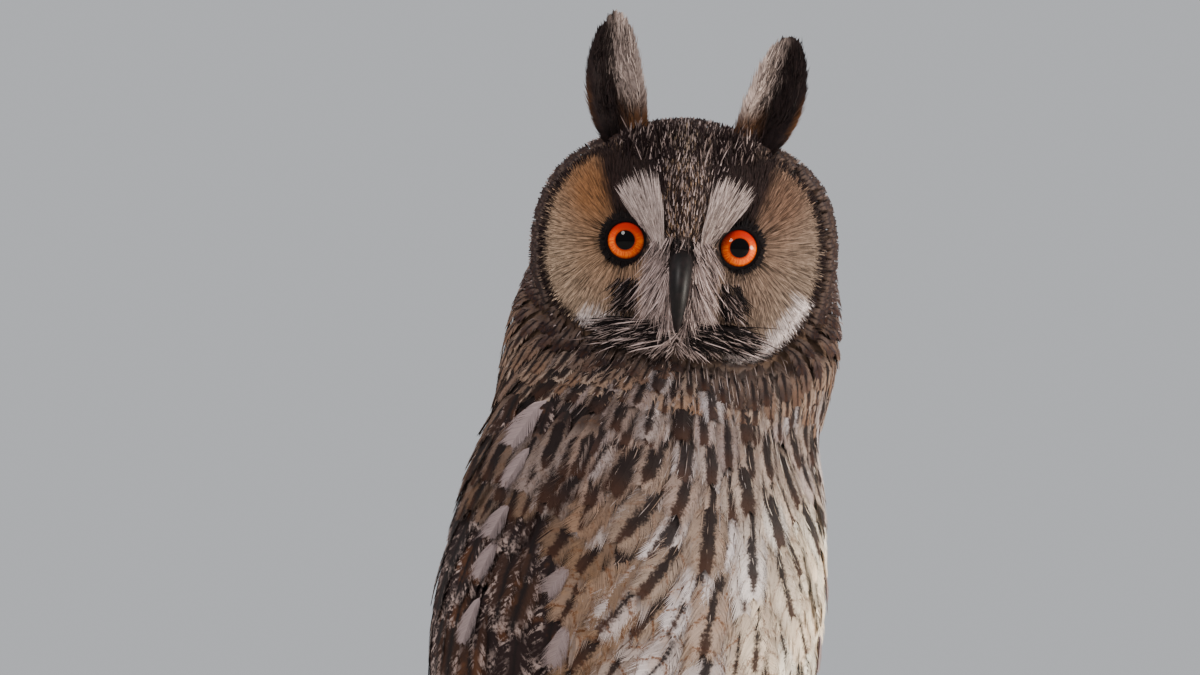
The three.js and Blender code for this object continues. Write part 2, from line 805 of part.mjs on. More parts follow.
const finishes = {
  plumage: { color: 0x8c7866, roughness: 0.9 },
  wing: { color: 0x4a3a34, roughness: 0.85 },
  face: { color: 0xb29472, roughness: 0.9 },
  tuft: { color: 0x241b1d, roughness: 0.85 },
  eye: { color: 0xe5600f, roughness: 0.05 },
  horn: { color: 0x2b2529, roughness: 0.4 },
  toe: { color: 0xb7a184, roughness: 0.9 },
  bark: { color: 0x8d857d, roughness: 0.95 },
  base: { color: 0x2c2522, roughness: 0.5 },
  rod: { color: 0x8a8a8a, roughness: 0.3, metalness: 0.9 },
};

function mesh(name, made, finish) {
  const material = new THREE.MeshStandardMaterial(finishes[finish]);
  const piece = new THREE.Mesh(geometryFrom(made), material);
  piece.name = name;
  return piece;
}

const owl = new THREE.Group();
owl.rotation.z = BODY_TURN;
const headGroup = new THREE.Group();
headGroup.position.copy(HEAD_PLACE);
headGroup.rotation.set(HEAD_PITCH, HEAD_ROLL, HEAD_TURN, "ZYX");
headGroup.updateMatrix();
const toBody = headGroup.matrix.clone();
const toHead = toBody.clone().invert();

// The head, neck and torso are one blank, parted by two thin cuts.
function partingSlab(place, matrix) {
  const cut = new THREE.BoxGeometry(300, 300, GAP).translate(0, 0, place);
  return solid(cut.applyMatrix4(matrix));
}

const headBlankInBody = moved(headBlank(), toBody);
const blank = bodyBlank().add(headBlankInBody);
const chinCut = partingSlab(
  0,
  toBody
    .clone()
    .multiply(new THREE.Matrix4().makeTranslation(0, 0, -33.5))
    .multiply(new THREE.Matrix4().makeRotationX(-15 * DEG)),
);
const shoulderCut = partingSlab(
  0,
  new THREE.Matrix4()
    .makeTranslation(0, 9, NECK_FLOOR)
    .multiply(new THREE.Matrix4().makeRotationX(-NECK_FLOOR_TILT)),
);
const byHeight = (a, b) => b.boundingBox().max[2] - a.boundingBox().max[2];
const [headBody, neckBody, torsoBody] = blank
  .subtract(chinCut)
  .subtract(shoulderCut)
  .decompose()
  .sort((a, b) => b.volume() - a.volume())
  .slice(0, 3)
  .sort(byHeight);

const headMade = headWithLids(moved(headBody, toHead));
const headRoom = swollen(moved(headBody, toHead), GAP);
const bodyRoom = swollen(blank, GAP);
const perchMade = perch();
const perchRoom = swollen(perchMade, GAP);
const upperBill = billUpper();

headGroup.add(mesh("head", headMade, "face"));
headGroup.add(mesh("bill_upper", largest(upperBill.subtract(headRoom)), "horn"));
headGroup.add(
  mesh("bill_lower", largest(billLower().subtract(headRoom).subtract(swollen(billUpper(), GAP))), "horn"),
);
owl.add(headGroup);
owl.add(mesh("neck", neckBody, "plumage"));
owl.add(mesh("torso", torsoBody, "plumage"));
owl.add(mesh("tail", tail(bodyRoom), "wing"));

const sides = [
  ["right", 1],
  ["left", -1],
];
for (const [word, side] of sides) {
  const dome = solid(eyeDome(EYE_BALL_RADIUS).applyMatrix4(atEye(side)));
  headGroup.add(mesh("eye_" + word, dome, "eye"));
  headGroup.add(mesh("ear_tuft_" + word, earTuft(side, 40 + side, headRoom), "tuft"));
  owl.add(mesh("wing_" + word, wing(side, 7 + side, bodyRoom), "wing"));
  const legMade = leg(side, bodyRoom);
  const footRoom = perchRoom.add(bodyRoom).add(swollen(legMade, GAP));
  owl.add(mesh("leg_" + word, legMade, "toe"));
  owl.add(mesh("foot_" + word, largest(foot(side).subtract(footRoom)), "toe"));
  TOES.forEach((toe, i) => {
    owl.add(mesh("claw_" + word + "_" + (i + 1), claw(side, toe).subtract(perchRoom), "horn"));
  });
  owl.add(mesh("stand_rod_" + word, rod(side, perchRoom), "rod"));
}
owl.add(mesh("perch_branch", perchMade, "bark"));
owl.add(mesh("stand_base", base(), "base"));

export default owl;
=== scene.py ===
# A long-eared owl standing on a cut length of branch, over a round base. Metres, +Z up.
# Sizes are written in millimetres, in the body's frame (x to the owl's right, y forward, z up)
# or in the head's, which is alike and centred between the eyes.
import math

import bmesh
import bpy
import numpy as np
from mathutils import Euler, Matrix, Vector, noise
from mathutils.bvhtree import BVHTree


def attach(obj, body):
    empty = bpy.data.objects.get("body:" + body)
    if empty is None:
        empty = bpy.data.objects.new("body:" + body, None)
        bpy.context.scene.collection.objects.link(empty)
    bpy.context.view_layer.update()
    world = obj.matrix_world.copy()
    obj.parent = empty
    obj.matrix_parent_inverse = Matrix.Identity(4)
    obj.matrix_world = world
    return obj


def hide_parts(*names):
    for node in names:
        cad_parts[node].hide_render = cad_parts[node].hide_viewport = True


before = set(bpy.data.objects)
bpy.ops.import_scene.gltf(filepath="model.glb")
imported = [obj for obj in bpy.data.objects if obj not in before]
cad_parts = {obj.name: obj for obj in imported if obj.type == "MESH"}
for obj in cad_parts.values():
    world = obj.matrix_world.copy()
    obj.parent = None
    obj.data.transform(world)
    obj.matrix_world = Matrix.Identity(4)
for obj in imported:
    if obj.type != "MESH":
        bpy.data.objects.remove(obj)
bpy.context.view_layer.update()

MM = 0.001
FULL_TURN = 2 * math.pi
SIDES = (("right", 1), ("left", -1))
FLESH = ("head", "neck", "torso", "leg_right", "leg_left")  # the nodes that the skin replaces

# Pose
BODY_TURN = math.radians(216)
HEAD_PLACE = (0, 25.8, 322)
HEAD_ANGLES = (math.radians(-4), math.radians(-4), math.radians(-36))
BODY = Matrix.Rotation(BODY_TURN, 4, "Z")
HEAD = BODY @ Matrix.Translation(HEAD_PLACE) @ Euler(HEAD_ANGLES, "XYZ").to_matrix().to_4x4()
WORLD = Matrix.Identity(4)

# Head
IRIS_SIDE = 17.9
EYE_RADIUS = 8.6
EYE_Y = 17
EYE_OUTWARD = math.radians(8)
EYE_SIDE = IRIS_SIDE - EYE_RADIUS * math.sin(EYE_OUTWARD)
IRIS_RADIUS = 5.9
PUPIL_RADIUS = 3.05
LID_OPENING = 5.9
LID_MIDDLE = LID_OPENING + 0.75
DISC_RIM = [
    (-90, 31), (-70, 37.5), (-52, 44), (-28, 45.5), (0, 44.5), (25, 43.5), (45, 40), (66, 37), (90, 36.5),
]  # degrees up from the side of the face, and distance from the middle to the rim
DISC_TUCK = 0.16  # share by which the neck covers the disc's lower edge on the owl's right
BROW_EDGES = [
    (-7, 4.4, 5.4), (-4, 5.4, 7), (0, 6.8, 10), (5, 8, 13.8), (10, 8.3, 17.4), (15, 8.8, 20.2),
    (19, 10, 20), (23, 12.5, 17),
]  # height, and the inner and outer edge of the white brow
BROW_PIVOT = (4.3, -9.0)  # where the brow's feathers spread from, across and up
BILL_UPPER = [
    (29, -3.5, 3.9, 4.4), (34.5, -5.6, 3.8, 4.5), (38.2, -9.6, 3.5, 4.3), (40.2, -14.6, 3, 3.6),
    (40.4, -19.6, 2.3, 2.8), (38.8, -24, 1.5, 1.8), (36.2, -27.2, 0.6, 0.8),
]  # y, z, half width, half thickness
BILL_LOWER = [(25, -18, 3, 2.2), (30, -20.4, 2.7, 2), (33.4, -23.8, 1.9, 1.4), (34.8, -26.6, 0.8, 0.7)]
BILL_SWELL = 0.03
TUFT_BASE = np.array([20, 3, 30])
TUFT_TIPS = {1: np.array([25.6, 2, 71]), -1: np.array([28.8, 2, 67.6])}
TUFT_BULGE = np.array([1.8, 0, 0])
TUFT_WIDTH = 19.6
TUFT_FEATHERS = ((8, 1.0, 5.6, 0), (7, 0.84, 5.4, 1.1), (6, 0.46, 5, -1.2), (6, 0.3, 4.6, -2))
# for each layer: how many, share of the tuft's height, width, how far back

# Body outline: height, half width, widest line, front and back along y
BODY_STATIONS = [
    (288, 56, 15, 48.5, -21), (265, 57, 9, 52, -33), (239, 61.4, 2.3, 54.3, -45.7),
    (214, 64.9, -3.7, 53.3, -54), (188, 65, -7.5, 46.5, -56), (170, 61, -10, 37, -56.5),
    (155, 54, -14, 25, -57), (142, 46, -20, 8, -57), (130, 39, -28, -11, -57), (118, 34, -36, -25, -57),
    (100, 30, -41, -32, -58), (60, 25, -46, -36, -60.5), (16, 19, -50, -40, -63),
]

# Wings: places are degrees round the body, height, and depth under its outline
WING_FRONT = [(165, 38), (198, 42), (223, 47), (251, 54), (270, 60), (285, 62)]  # height, degrees round
QUILL_ROWS = (
    (9, ((92, 160, 5.6), (146, 21, 4.6)), ((118, 160, 4.6), (168, 72, 2)), 13),
    (10, ((70, 200, 4.6), (88, 134, 2.6)), ((158, 198, 4.4), (174, 106, 0.9)), 19),
)  # how many, root and tip of the first and of the last, width
COVERT_ROW = (11, ((47, 204, 4.2), (56, 150, 1.4)), ((150, 212, 4.2), (164, 156, 1)), 18)
LOOSE_COVERTS = ((8.2, 1.2), (9.4, 0.3))  # spacing, depth
WING_SPOTS = (
    ((72, 272), (80, 258), 8.5), ((72, 257), (78, 245), 5.5), ((75, 240), (79, 230), 8),
    ((76, 229), (80, 217), 6.5), ((79, 211), (83, 197), 6.5), ((48, 202), (51, 190), 6.5),
    ((50, 220), (55, 212), 6.5),
)  # pale ovals: degrees round and height of the top and of the bottom, and width

# Tail, legs and perch
TAIL_FEATHERS = 12
TAIL_ROOT_HEIGHT = 124
TAIL_TIP_HEIGHT = 24
TAIL_ROOT_Y = -43
TAIL_SLOPE = 0.108
LEG_SIDE = 17
ANKLE_HEIGHT = 128
ANKLE_RINGS = ((ANKLE_HEIGHT, 8.6), (125.5, 9), (123, 9), (120.8, 8.2))  # height, radius
TOE_RADIUS = 4.7
TOE_STEPS = np.arange(25) / 24
TOES = [(-4, -5, 70), (4, 5, 74), (4.5, 8, -64), (-3.5, -4, -66)]  # place, splay, degrees round the branch
CLAW_RADIUS = 2.3
CLAW_TURN = 44  # degrees round the branch
PERCH_RADIUS = 15
PERCH_HEIGHT = 105
PERCH_HALF_LENGTH = 84
BASE_RADIUS = 96
BASE_HEIGHT = 12
BASE_EDGE = 3

# Coat
COAT_SEED = 11
SKIN_SEED = 3
PIECE_LIMIT = 190000  # triangles
PATCH = 0.003  # size of a feather's patch on the unwrap
GUIDE_VOXEL = 0.0012  # metres
FOOT_VOXEL = 0.0008  # metres
FACE_LAYERS = ((0.75, 0.5, 0.9), (0.75, 0.28, 0.5), (0.95, 0.2, 0.3))  # spacing, width, depth
FACE_HAIR = 6.2  # length
BODY_LAYERS = ((4.8, 14, 22, 10, 1.5), (7.0, 40, 32, 14, 0.6), (8.6, 84, 38, 17, 0))
# for each layer: spacing, pairs of barbs, length, width, how far sunk
FLANK_SETS = (
    ((-22, -9), (172, 268), 6.4, (11, 15), 31, 14, 4),
    ((-14, 38), (254, 268), 4.6, (3, 9), 23, 9.5, 3),
    ((38, 104), (262, 285), 5.0, (3, 9), 24, 9, 14),
)  # degrees from the wing's front edge, heights of the roots, spacing, drift in degrees, length, width,
# and how much deeper the highest roots are sunk
BRISTLE_SETS = (
    (170, (0, 4.2), (-4, 3), (0.1, 0.35, -1), (0, -0.1, -0.2), (3.5, 6), 0.7, 0.1, 0.34),
    (1050, (3.7, 9), (-17, 2), (0.16, 0.5, -0.8), (0.14, -0.45, -0.5), (5, 8.5), 0.16, 0.62, 0.34),
    (420, (12.5, 19), (-20, -11), (0.35, 0.3, -0.8), (0.25, -0.3, -0.2), (3, 6), 0.8, 0.08, 0.38),
    (420, (3.2, 5), (-24, -4), (-0.24, 0.62, -0.7), (0.1, -0.3, -0.6), (4, 7), 0.1, 0.6, 0.3),
    (1700, (1, 19), (-31.5, -24), (0.95, 0.34, -0.12), (0.2, -0.35, -0.2), (4, 9), 0.78, 0.14, 0.46),
    (420, (0, 10), (-34, -28), (0.5, 0.2, -0.8), (0.3, -0.3, -0.3), (1.6, 3.2), 0.2, 0.5, 0.36),
)  # how many, where they root across and up, how they leave and bend, lengths, shares of dark and of pale,
# and width

# Studio, in metres
CAMERA_AIM = Vector((-0.0105, -0.02, 0.293))
CAMERA_AWAY = 3.0
CAMERA_BELOW = math.radians(4)
CAMERA_LENS = 288
LIGHT_AIM = (0, 0, 0.27)
LIGHTS = (
    ("key", (-0.8, -1.5, 1.4), 0.55, 34, (1, 0.96, 0.92)),
    ("warm", (1.5, -0.45, 0.32), 0.4, 40, (1, 0.94, 0.84)),
    ("back", (0.7, 1.5, 1.2), 0.8, 30, (0.95, 0.97, 1)),
)  # place, width, power, tint
SKY = (0.84, 0.86, 0.9, 1)
SKY_STRENGTH = 0.62
FLOOR_REACH = 6


# Numbers

def smooth(start, end, x):
    t = np.clip((np.asarray(x, float) - start) / (end - start), 0, 1)
    return t * t * (3 - 2 * t)


def bell(x, width):
    return np.exp(-((x / width) ** 2))


def blob(x, width, z, height):
    return np.exp(-((x / width) ** 2) - (z / height) ** 2)


def band(x, start, end, soft=0.8):
    # 1 between start and end, fading over a soft edge at either
    return smooth(start - soft, start + soft, x) * smooth(end + soft, end - soft, x)


def mix(a, b, share):
    share = np.asarray(share)[..., None]
    return a * (1 - share) + b * share


def vectors(*columns):
    return np.stack(np.broadcast_arrays(*columns), axis=-1)


def unit(v):
    return v / np.maximum(np.linalg.norm(v, axis=-1, keepdims=True), 1e-9)


def degrees_round(b):
    # From straight ahead, the same on both sides
    return np.degrees(np.abs(np.arctan2(b[:, 0], b[:, 1])))


def along_table(rows, x):
    # A smooth curve through rows of numbers, read at x, the first number of each row
    rows = np.array(sorted(rows), float)
    keys, values = rows[:, 0], rows[:, 1:]
    before = np.maximum(np.arange(len(keys)) - 1, 0)
    after = np.minimum(np.arange(len(keys)) + 1, len(keys) - 1)
    slopes = (values[after] - values[before]) / (keys[after] - keys[before])[:, None]
    x = np.clip(np.asarray(x, float), keys[0], keys[-1])
    i = np.clip(np.searchsorted(keys, x, side="right") - 1, 0, len(keys) - 2)
    span = keys[i + 1] - keys[i]
    t = ((x - keys[i]) / span)[..., None]
    rise = (values[i + 1] - values[i]) * (t * t * (3 - 2 * t))
    leave = slopes[i] * span[..., None] * (t - 2 * t * t + t ** 3)
    arrive = slopes[i + 1] * span[..., None] * (t ** 3 - t * t)
    return values[i] + rise + leave + arrive


def colour(red, green, blue):
    c = np.array([red, green, blue], float) / 255
    return np.where(c <= 0.04045, c / 12.92, ((c + 0.055) / 1.055) ** 2.4)


def placed(points, matrix):
    # Millimetres in a frame to metres in the world
    m = np.array(matrix)
    return (points @ m[:3, :3].T + m[:3, 3]) * MM


def seen_from(points, matrix):
    # Metres in the world to millimetres in a frame
    m = np.array(matrix)
    return (points / MM - m[:3, 3]) @ m[:3, :3]


def turned(directions, matrix):
    return directions @ np.array(matrix)[:3, :3].T


# Colours

BUFF = colour(146, 116, 92)
TAWNY = colour(128, 86, 53)
OUTER_DISC = colour(164, 142, 122)
LOWER_DISC = colour(150, 120, 100)
WHITE = colour(208, 188, 182)
BRIGHT = colour(222, 208, 206)
PALE = colour(170, 150, 146)
GREY = colour(112, 96, 92)
PAINTED_SHADE_GREY = colour(100, 88, 84)
BLACK = colour(9, 6, 8)
DARK = colour(26, 16, 18)
TOE_BUFF = colour(190, 158, 118)
TAIL_BUFF = colour(120, 102, 84)
WING_BROWN = colour(30, 18, 18)
WING_WARM = colour(78, 50, 32)
WING_GREY = colour(92, 74, 64)
WING_PALE = colour(138, 122, 122)


# Meshes

def linked(name, data):
    thing = bpy.data.objects.new(name, data)
    bpy.context.scene.collection.objects.link(thing)
    return thing


def mesh_object(name, points, faces):
    mesh = bpy.data.meshes.new(name)
    faces = np.asarray(faces, np.int32)
    mesh.vertices.add(len(points))
    mesh.vertices.foreach_set("co", np.asarray(points, np.float32).ravel())
    mesh.loops.add(faces.size)
    mesh.loops.foreach_set("vertex_index", faces.ravel())
    mesh.polygons.add(len(faces))
    mesh.polygons.foreach_set("loop_start", np.arange(0, faces.size, faces.shape[1], dtype=np.int32))
    mesh.polygons.foreach_set("use_smooth", np.full(len(faces), True))
    mesh.update(calc_edges=True)
    return linked(name, mesh)


def paint(piece, key, values):
    # A colour or three numbers for each point
    kind, field = "FLOAT_VECTOR", "vector"
    if key == "tint":
        kind, field = "FLOAT_COLOR", "color"
        values = np.concatenate([values, np.ones((len(values), 1))], axis=1)
    layer = piece.data.attributes.new(key, kind, "POINT")
    layer.data.foreach_set(field, values.astype(np.float32).ravel())


def unwrap(points, matrix):
    # The skin's own shape rolled flat: round the upright axis, and up it
    p = seen_from(points, matrix)
    round_it = np.arctan2(p[..., 0], p[..., 1]) / FULL_TURN + 0.5
    low, high = (-60, 90) if matrix is HEAD else (0, 340)
    return vectors(round_it, np.clip((p[..., 2] - low) / (high - low), 0, 1))


def set_bake(piece, uv):
    layer = piece.data.uv_layers.new(name="OFBake")
    layer.data.foreach_set("uv", uv.astype(np.float32).ravel())


def finish_piece(piece, material, slot, *nodes):
    piece.data.materials.clear()
    piece.data.materials.append(material)
    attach(piece, "root")
    if nodes:
        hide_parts(*nodes)
    return piece


class Coat:
    # Many small feathers of one kind, gathered and then made into objects under the size limit
    def __init__(self, matrix, rng):
        self.matrix = matrix
        self.rng = rng
        self.parts = []

    def add(self, roots, points, faces, tint, place, mark):
        # Place is how far across, how far along and the feather's own luck.
        # On the unwrap, a feather's patch lies round the place of its root.
        shape = points.shape[:-1]
        patch = vectors(place[..., 0] * PATCH / 2, (place[..., 1] - 0.5) * PATCH)
        uv = np.clip(spread_out(unwrap(roots, self.matrix), shape) + patch, 0, 1)
        columns = [v if v.ndim > 2 else spread_out(v, shape) for v in (tint, place, mark, uv)]
        self.parts.append([points.reshape(-1, 3), faces] + [v.reshape(-1, v.shape[-1]) for v in columns])

    def make(self, name, material, slot, *nodes):
        groups = [[]]
        count = 0
        for part in self.parts:
            if count + len(part[1]) > PIECE_LIMIT:
                groups.append([])
                count = 0
            groups[-1].append(part)
            count += len(part[1])
        for k, group in enumerate(groups):
            self.make_one(f"{name}_{k + 1}", group, material, slot, nodes)

    def make_one(self, name, group, material, slot, nodes):
        starts = np.cumsum([0] + [len(part[0]) for part in group])
        faces = np.concatenate([part[1] + start for part, start in zip(group, starts)])
        points, _, tint, place, mark, uv = [np.concatenate(column) for column in zip(*group)]
        piece = mesh_object(name, points, faces)
        for key, values in (("tint", tint), ("place", place), ("mark", mark)):
            paint(piece, key, values)
        set_bake(piece, uv[faces.ravel()])
        finish_piece(piece, material, slot, *nodes)


# Feathers

def along(rows, u):
    # Each feather's row of stations, read at u: 0 at the root, 1 at the tip
    last = rows.shape[1] - 1
    x = u * last
    i = np.clip(x.astype(int), 0, last - 1)
    part = (x - i)[..., None]
    n = np.arange(len(rows)).reshape((-1,) + (1,) * (u.ndim - 1))
    return rows[n, i] * (1 - part) + rows[n, i + 1] * part


def spread_out(values, shape):
    # One value or colour for each feather, repeated for all its points
    values = np.asarray(values, float)
    return np.broadcast_to(values.reshape(values.shape[:1] + (1,) * (len(shape) - 1) + values.shape[1:]),
                           shape + values.shape[1:])


def repeated(faces, count, points):
    # The faces of one feather, for each of a number of feathers
    return (np.arange(count)[:, None, None] * points + faces).reshape(-1, 3)


def ladder(steps):
    # Two triangles for each step of a strip whose points lie in pairs
    return (np.arange(steps)[:, None, None] * 2 + np.array([[0, 2, 3], [0, 3, 1]])).reshape(-1, 3)


class Lay:
    # The paths of some feathers, with the directions across them and up from them
    def __init__(self, path, normal):
        self.path = path
        tangent = unit(np.gradient(path, axis=1))
        self.across = unit(np.cross(tangent, normal))
        self.up = np.cross(self.across, tangent)
        self.length = np.linalg.norm(np.diff(path, axis=1), axis=2).sum(axis=1)

    def at(self, u, aside, off):
        side = along(self.across, u) * aside[..., None]
        return along(self.path, u) + side + along(self.up, u) * off[..., None]


def barbed(coat, path, normal, width, tint, mark, pairs=16, depth=0, lift=0, cup=0.04, sweep=1.2, fray=0.08,
           pointed=5, colouring=None):
    # Soft feathers made of barbs, with a shaft. Widths, depths and lifts are in millimetres.
    rng = coat.rng
    n = len(path)
    lay = Lay(path, normal)
    length = lay.length[:, None, None, None]
    half = (np.broadcast_to(width, n) * MM / 2)[:, None, None, None]
    t = np.linspace(0.03, 0.985, pairs)[None, :, None, None]
    side = np.array([1.0, -1.0])[None, None, :, None]
    q = np.array([0, 0, 0.62, 0.62, 1])[None, None, None, :]
    edge = np.array([-1.0, 1.0, -1.0, 1.0, 0])[None, None, None, :]
    shape = (n, pairs, 2, 5)
    loose = rng.normal(0, fray, (n, pairs, 2, 1))
    reach = half * smooth(-0.35, 0.4, t) * np.sqrt(1 - t ** pointed) * (1 + loose)
    clump = 0.2 * np.sin(t * 19 + rng.uniform(0, FULL_TURN, (n, 1, 2, 1)))
    u = t + (sweep + clump + 0.8 * loose) * reach / length * q ** 1.6
    u = np.broadcast_to(u + edge * (0.9 / pairs) * (1 - 0.3 * q), shape)
    a = np.broadcast_to(side * reach * q ** 0.9, shape)
    rise = lift * u ** 2 - depth * (1 - smooth(0, 0.5, u)) + 0.05 * edge
    rise = rise + rng.normal(0, 0.06, (n, pairs, 2, 1)) * q
    points = lay.at(u, a, rise * MM - cup * a * a / half)
    luck = rng.random(n)
    place = vectors(a / half, u, spread_out(luck, shape))
    barbs = repeated(np.array([[0, 2, 3], [0, 3, 1], [2, 4, 3]]), n * pairs * 2, 5)
    shade = 1 + rng.normal(0, 0.08, (n, pairs, 2, 1, 1))
    tints = (spread_out(tint, shape) if colouring is None else colouring(points, place)) * shade
    coat.add(path[:, 0], points, barbs, tints, place, mark)
    shafts(coat, lay, half[:, 0, 0, 0], depth, lift, tints, mark, luck)


def shafts(coat, lay, half, depth, lift, tints, mark, luck):
    steps = 6
    stations = np.linspace(0.02, 0.94, steps)
    n, pairs = tints.shape[:2]
    u = np.broadcast_to(stations[None, :, None], (n, steps, 2))
    a = np.array([-1.0, 1.0])[None, None, :] * MM * (0.2 - 0.14 * u)
    rise = lift * u ** 2 - depth * (1 - smooth(0, 0.5, u)) + 0.1
    place = vectors(a / half[:, None, None], u, spread_out(luck, u.shape))
    picks = np.clip((stations * pairs).astype(int), 0, pairs - 1)
    tint = np.repeat(tints[:, picks, 0, 0][:, :, None], 2, axis=2)
    faces = repeated(ladder(steps - 1), n, 2 * steps)
    coat.add(lay.path[:, 0], lay.at(u, a, rise * MM), faces, tint, place, mark)


def filaments(coat, path, normal, width, root_tint, tip_tint, depth=0, lift=0):
    # Hair-like feathers, each a narrow blade that ends in a point
    n, steps = path.shape[:2]
    lay = Lay(path, normal)
    t = np.linspace(0, 1, steps)
    twist = coat.rng.uniform(-0.9, 0.9, (n, 1, 1))
    rise = (np.broadcast_to(lift, n)[:, None] * t ** 1.6 - depth * (1 - smooth(0, 0.4, t))) * MM
    middle = path + lay.up * rise[..., None]
    half = width * MM / 2 * (1 - 0.5 * t)
    aside = (lay.across * np.cos(twist) + lay.up * np.sin(twist)) * half[:, None]
    pairs = np.stack([(middle - aside)[:, :-1], (middle + aside)[:, :-1]], axis=2).reshape(n, -1, 3)
    points = np.concatenate([pairs, middle[:, -1:]], axis=1)
    count = points.shape[1]
    faces = np.concatenate([ladder(steps - 2), [[count - 3, count - 1, count - 2]]])
    u = np.broadcast_to(np.append(np.repeat(t[:-1], 2), 1.0), (n, count))
    tint = mix(spread_out(root_tint, (n, count)), spread_out(tip_tint, (n, count)), u)
    place = vectors(0, u, spread_out(coat.rng.random(n), (n, count)))
    coat.add(path[:, 0], points, repeated(faces, n, count), tint, place, np.zeros((n, 3)))


def stiff_vanes(coat, path, normal, width, tint, mark, tilt=0):
    # Flight feathers: closed blades with a shaft ridge and a rounded tip
    columns = 7
    rows = 18
    thick = 0.45
    n = len(path)
    lay = Lay(path, normal)
    t = (1 - (1 - np.linspace(0, 1, rows)) ** 1.8)[None, :, None]
    s = np.linspace(-1, 1, columns)[None, None, :]
    half = (np.broadcast_to(width, n) * MM / 2)[:, None, None]
    shape = (0.45 + 0.55 * smooth(0, 0.3, t)) * np.sqrt(np.maximum(1 - t ** 16, 0.004))
    a = s * half * shape * (1 + 0.012 * np.sin(t * 90 + 9 * s))
    u = np.clip(t - 0.7 * (np.abs(a) / lay.length[:, None, None]) * smooth(0.7, 0.95, t), 0, 1)
    middle = tilt * a + 0.25 * MM * bell(s, 0.16) - 0.05 * a * a / half
    skin = thick * MM / 2 * (1 - 0.7 * np.abs(s) ** 4)
    points = np.stack([lay.at(u, a, middle + skin), lay.at(u, a, middle - skin)], axis=1).reshape(n, -1, 3)
    luck = coat.rng.random(n)
    place = vectors(a / half, u, spread_out(luck, a.shape))
    place = np.stack([place, place], axis=1).reshape(n, -1, 3)
    faces = repeated(blade_faces(rows, columns), n, 2 * rows * columns)
    coat.add(path[:, 0], points, faces, tint, place, mark)


def blade_faces(rows, columns):
    faces = []
    sheet = rows * columns
    for k in range(rows - 1):
        for j in range(columns - 1):
            a = k * columns + j
            for under in (0, sheet):
                quad = (a + under, a + 1 + under, a + 1 + columns + under, a + columns + under)
                quad = quad if under else quad[::-1]
                faces += [[quad[0], quad[1], quad[2]], [quad[0], quad[2], quad[3]]]
    rim = list(range(columns - 1)) + [k * columns + columns - 1 for k in range(rows - 1)]
    rim += [sheet - 1 - j for j in range(columns - 1)] + [k * columns for k in range(rows - 1, 0, -1)]
    for a, b in zip(rim, rim[1:] + rim[:1]):
        faces += [[a, b, b + sheet], [a, b + sheet, a + sheet]]
    return np.array(faces)


# Guide surface under the coat

def remeshed(piece, voxel, passes):
    for kind, settings in (
        ("REMESH", {"mode": "VOXEL", "voxel_size": voxel}),
        ("SMOOTH", {"iterations": passes, "factor": 0.5}),
    ):
        modifier = piece.modifiers.new(kind.lower(), kind)
        for key, value in settings.items():
            setattr(modifier, key, value)
        mesh = bpy.data.meshes.new_from_object(piece.evaluated_get(bpy.context.evaluated_depsgraph_get()))
        piece.modifiers.clear()
        piece.data = mesh
    return piece


def object_of(bm, name):
    mesh = bpy.data.meshes.new(name)
    bm.to_mesh(mesh)
    bm.free()
    return linked(name, mesh)


def joined_copy(name, nodes):
    bm = bmesh.new()
    for node in nodes:
        bm.from_mesh(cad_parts[node].data)
    return object_of(bm, name)


def threes(items, key, kind=float):
    values = np.empty(len(items) * 3, kind)
    items.foreach_get(key, values)
    return values.reshape(-1, 3)


def arrays_of(mesh):
    mesh.calc_loop_triangles()
    points, normals = threes(mesh.vertices, "co"), threes(mesh.vertices, "normal")
    return points, normals, threes(mesh.loop_triangles, "vertices", np.int32)


class Surface:
    # A closed surface that feathers are rooted on and lie along
    def __init__(self, mesh):
        self.points, self.normals, self.triangles = arrays_of(mesh)
        self.tree = BVHTree.FromPolygons(self.points.tolist(), self.triangles.tolist())
        a, b, c = np.moveaxis(self.points[self.triangles], 1, 0)
        self.areas = np.linalg.norm(np.cross(b - a, c - a), axis=1)

    def nearest(self, points):
        places = np.empty((len(points), 3))
        normals = np.empty((len(points), 3))
        for i, p in enumerate(points):
            place, _, index, _ = self.tree.find_nearest(Vector(p))
            places[i] = place
            normals[i] = self.normals[self.triangles[index]].sum(axis=0)
        return places, unit(normals)

    def march(self, starts, lie, length, stations):
        # Paths that follow the lie of the coat over the surface
        step = np.broadcast_to(length, len(starts))[:, None] * MM / (stations - 1)
        p = np.array(starts)
        path = []
        normal = []
        for _ in range(stations):
            p, n = self.nearest(p)
            path.append(p)
            normal.append(n)
            d = lie(p)
            d = unit(d - n * (d * n).sum(axis=1, keepdims=True))
            p = p + d * step
        return np.stack(path, axis=1), np.stack(normal, axis=1)

    def scatter(self, spacing, rng, tries, flatten=1.0):
        # Roots spread evenly, by a spacing in millimetres that may differ from place to place, 0 for none.
        # Where heights are flattened, roots stand further apart up and down than across.
        pick = rng.choice(len(self.areas), tries, p=self.areas / self.areas.sum())
        r = np.sqrt(rng.random((tries, 1)))
        s = rng.random((tries, 1))
        a, b, c = np.moveaxis(self.points[self.triangles[pick]], 1, 0)
        points = a * (1 - r) + b * (r * (1 - s)) + c * (r * s)
        gap = spacing(points) * MM
        points, gap = points[gap > 0], gap[gap > 0]
        flat = points * np.array([1, 1, flatten])
        keys = np.floor(flat / gap.max()).astype(int)
        cells = {}
        kept = []
        for i, (p, g, key) in enumerate(zip(flat.tolist(), gap.tolist(), keys.tolist())):
            if is_clear(cells, key, p, g):
                cells.setdefault(tuple(key), []).append(p)
                kept.append(i)
        return points[kept]


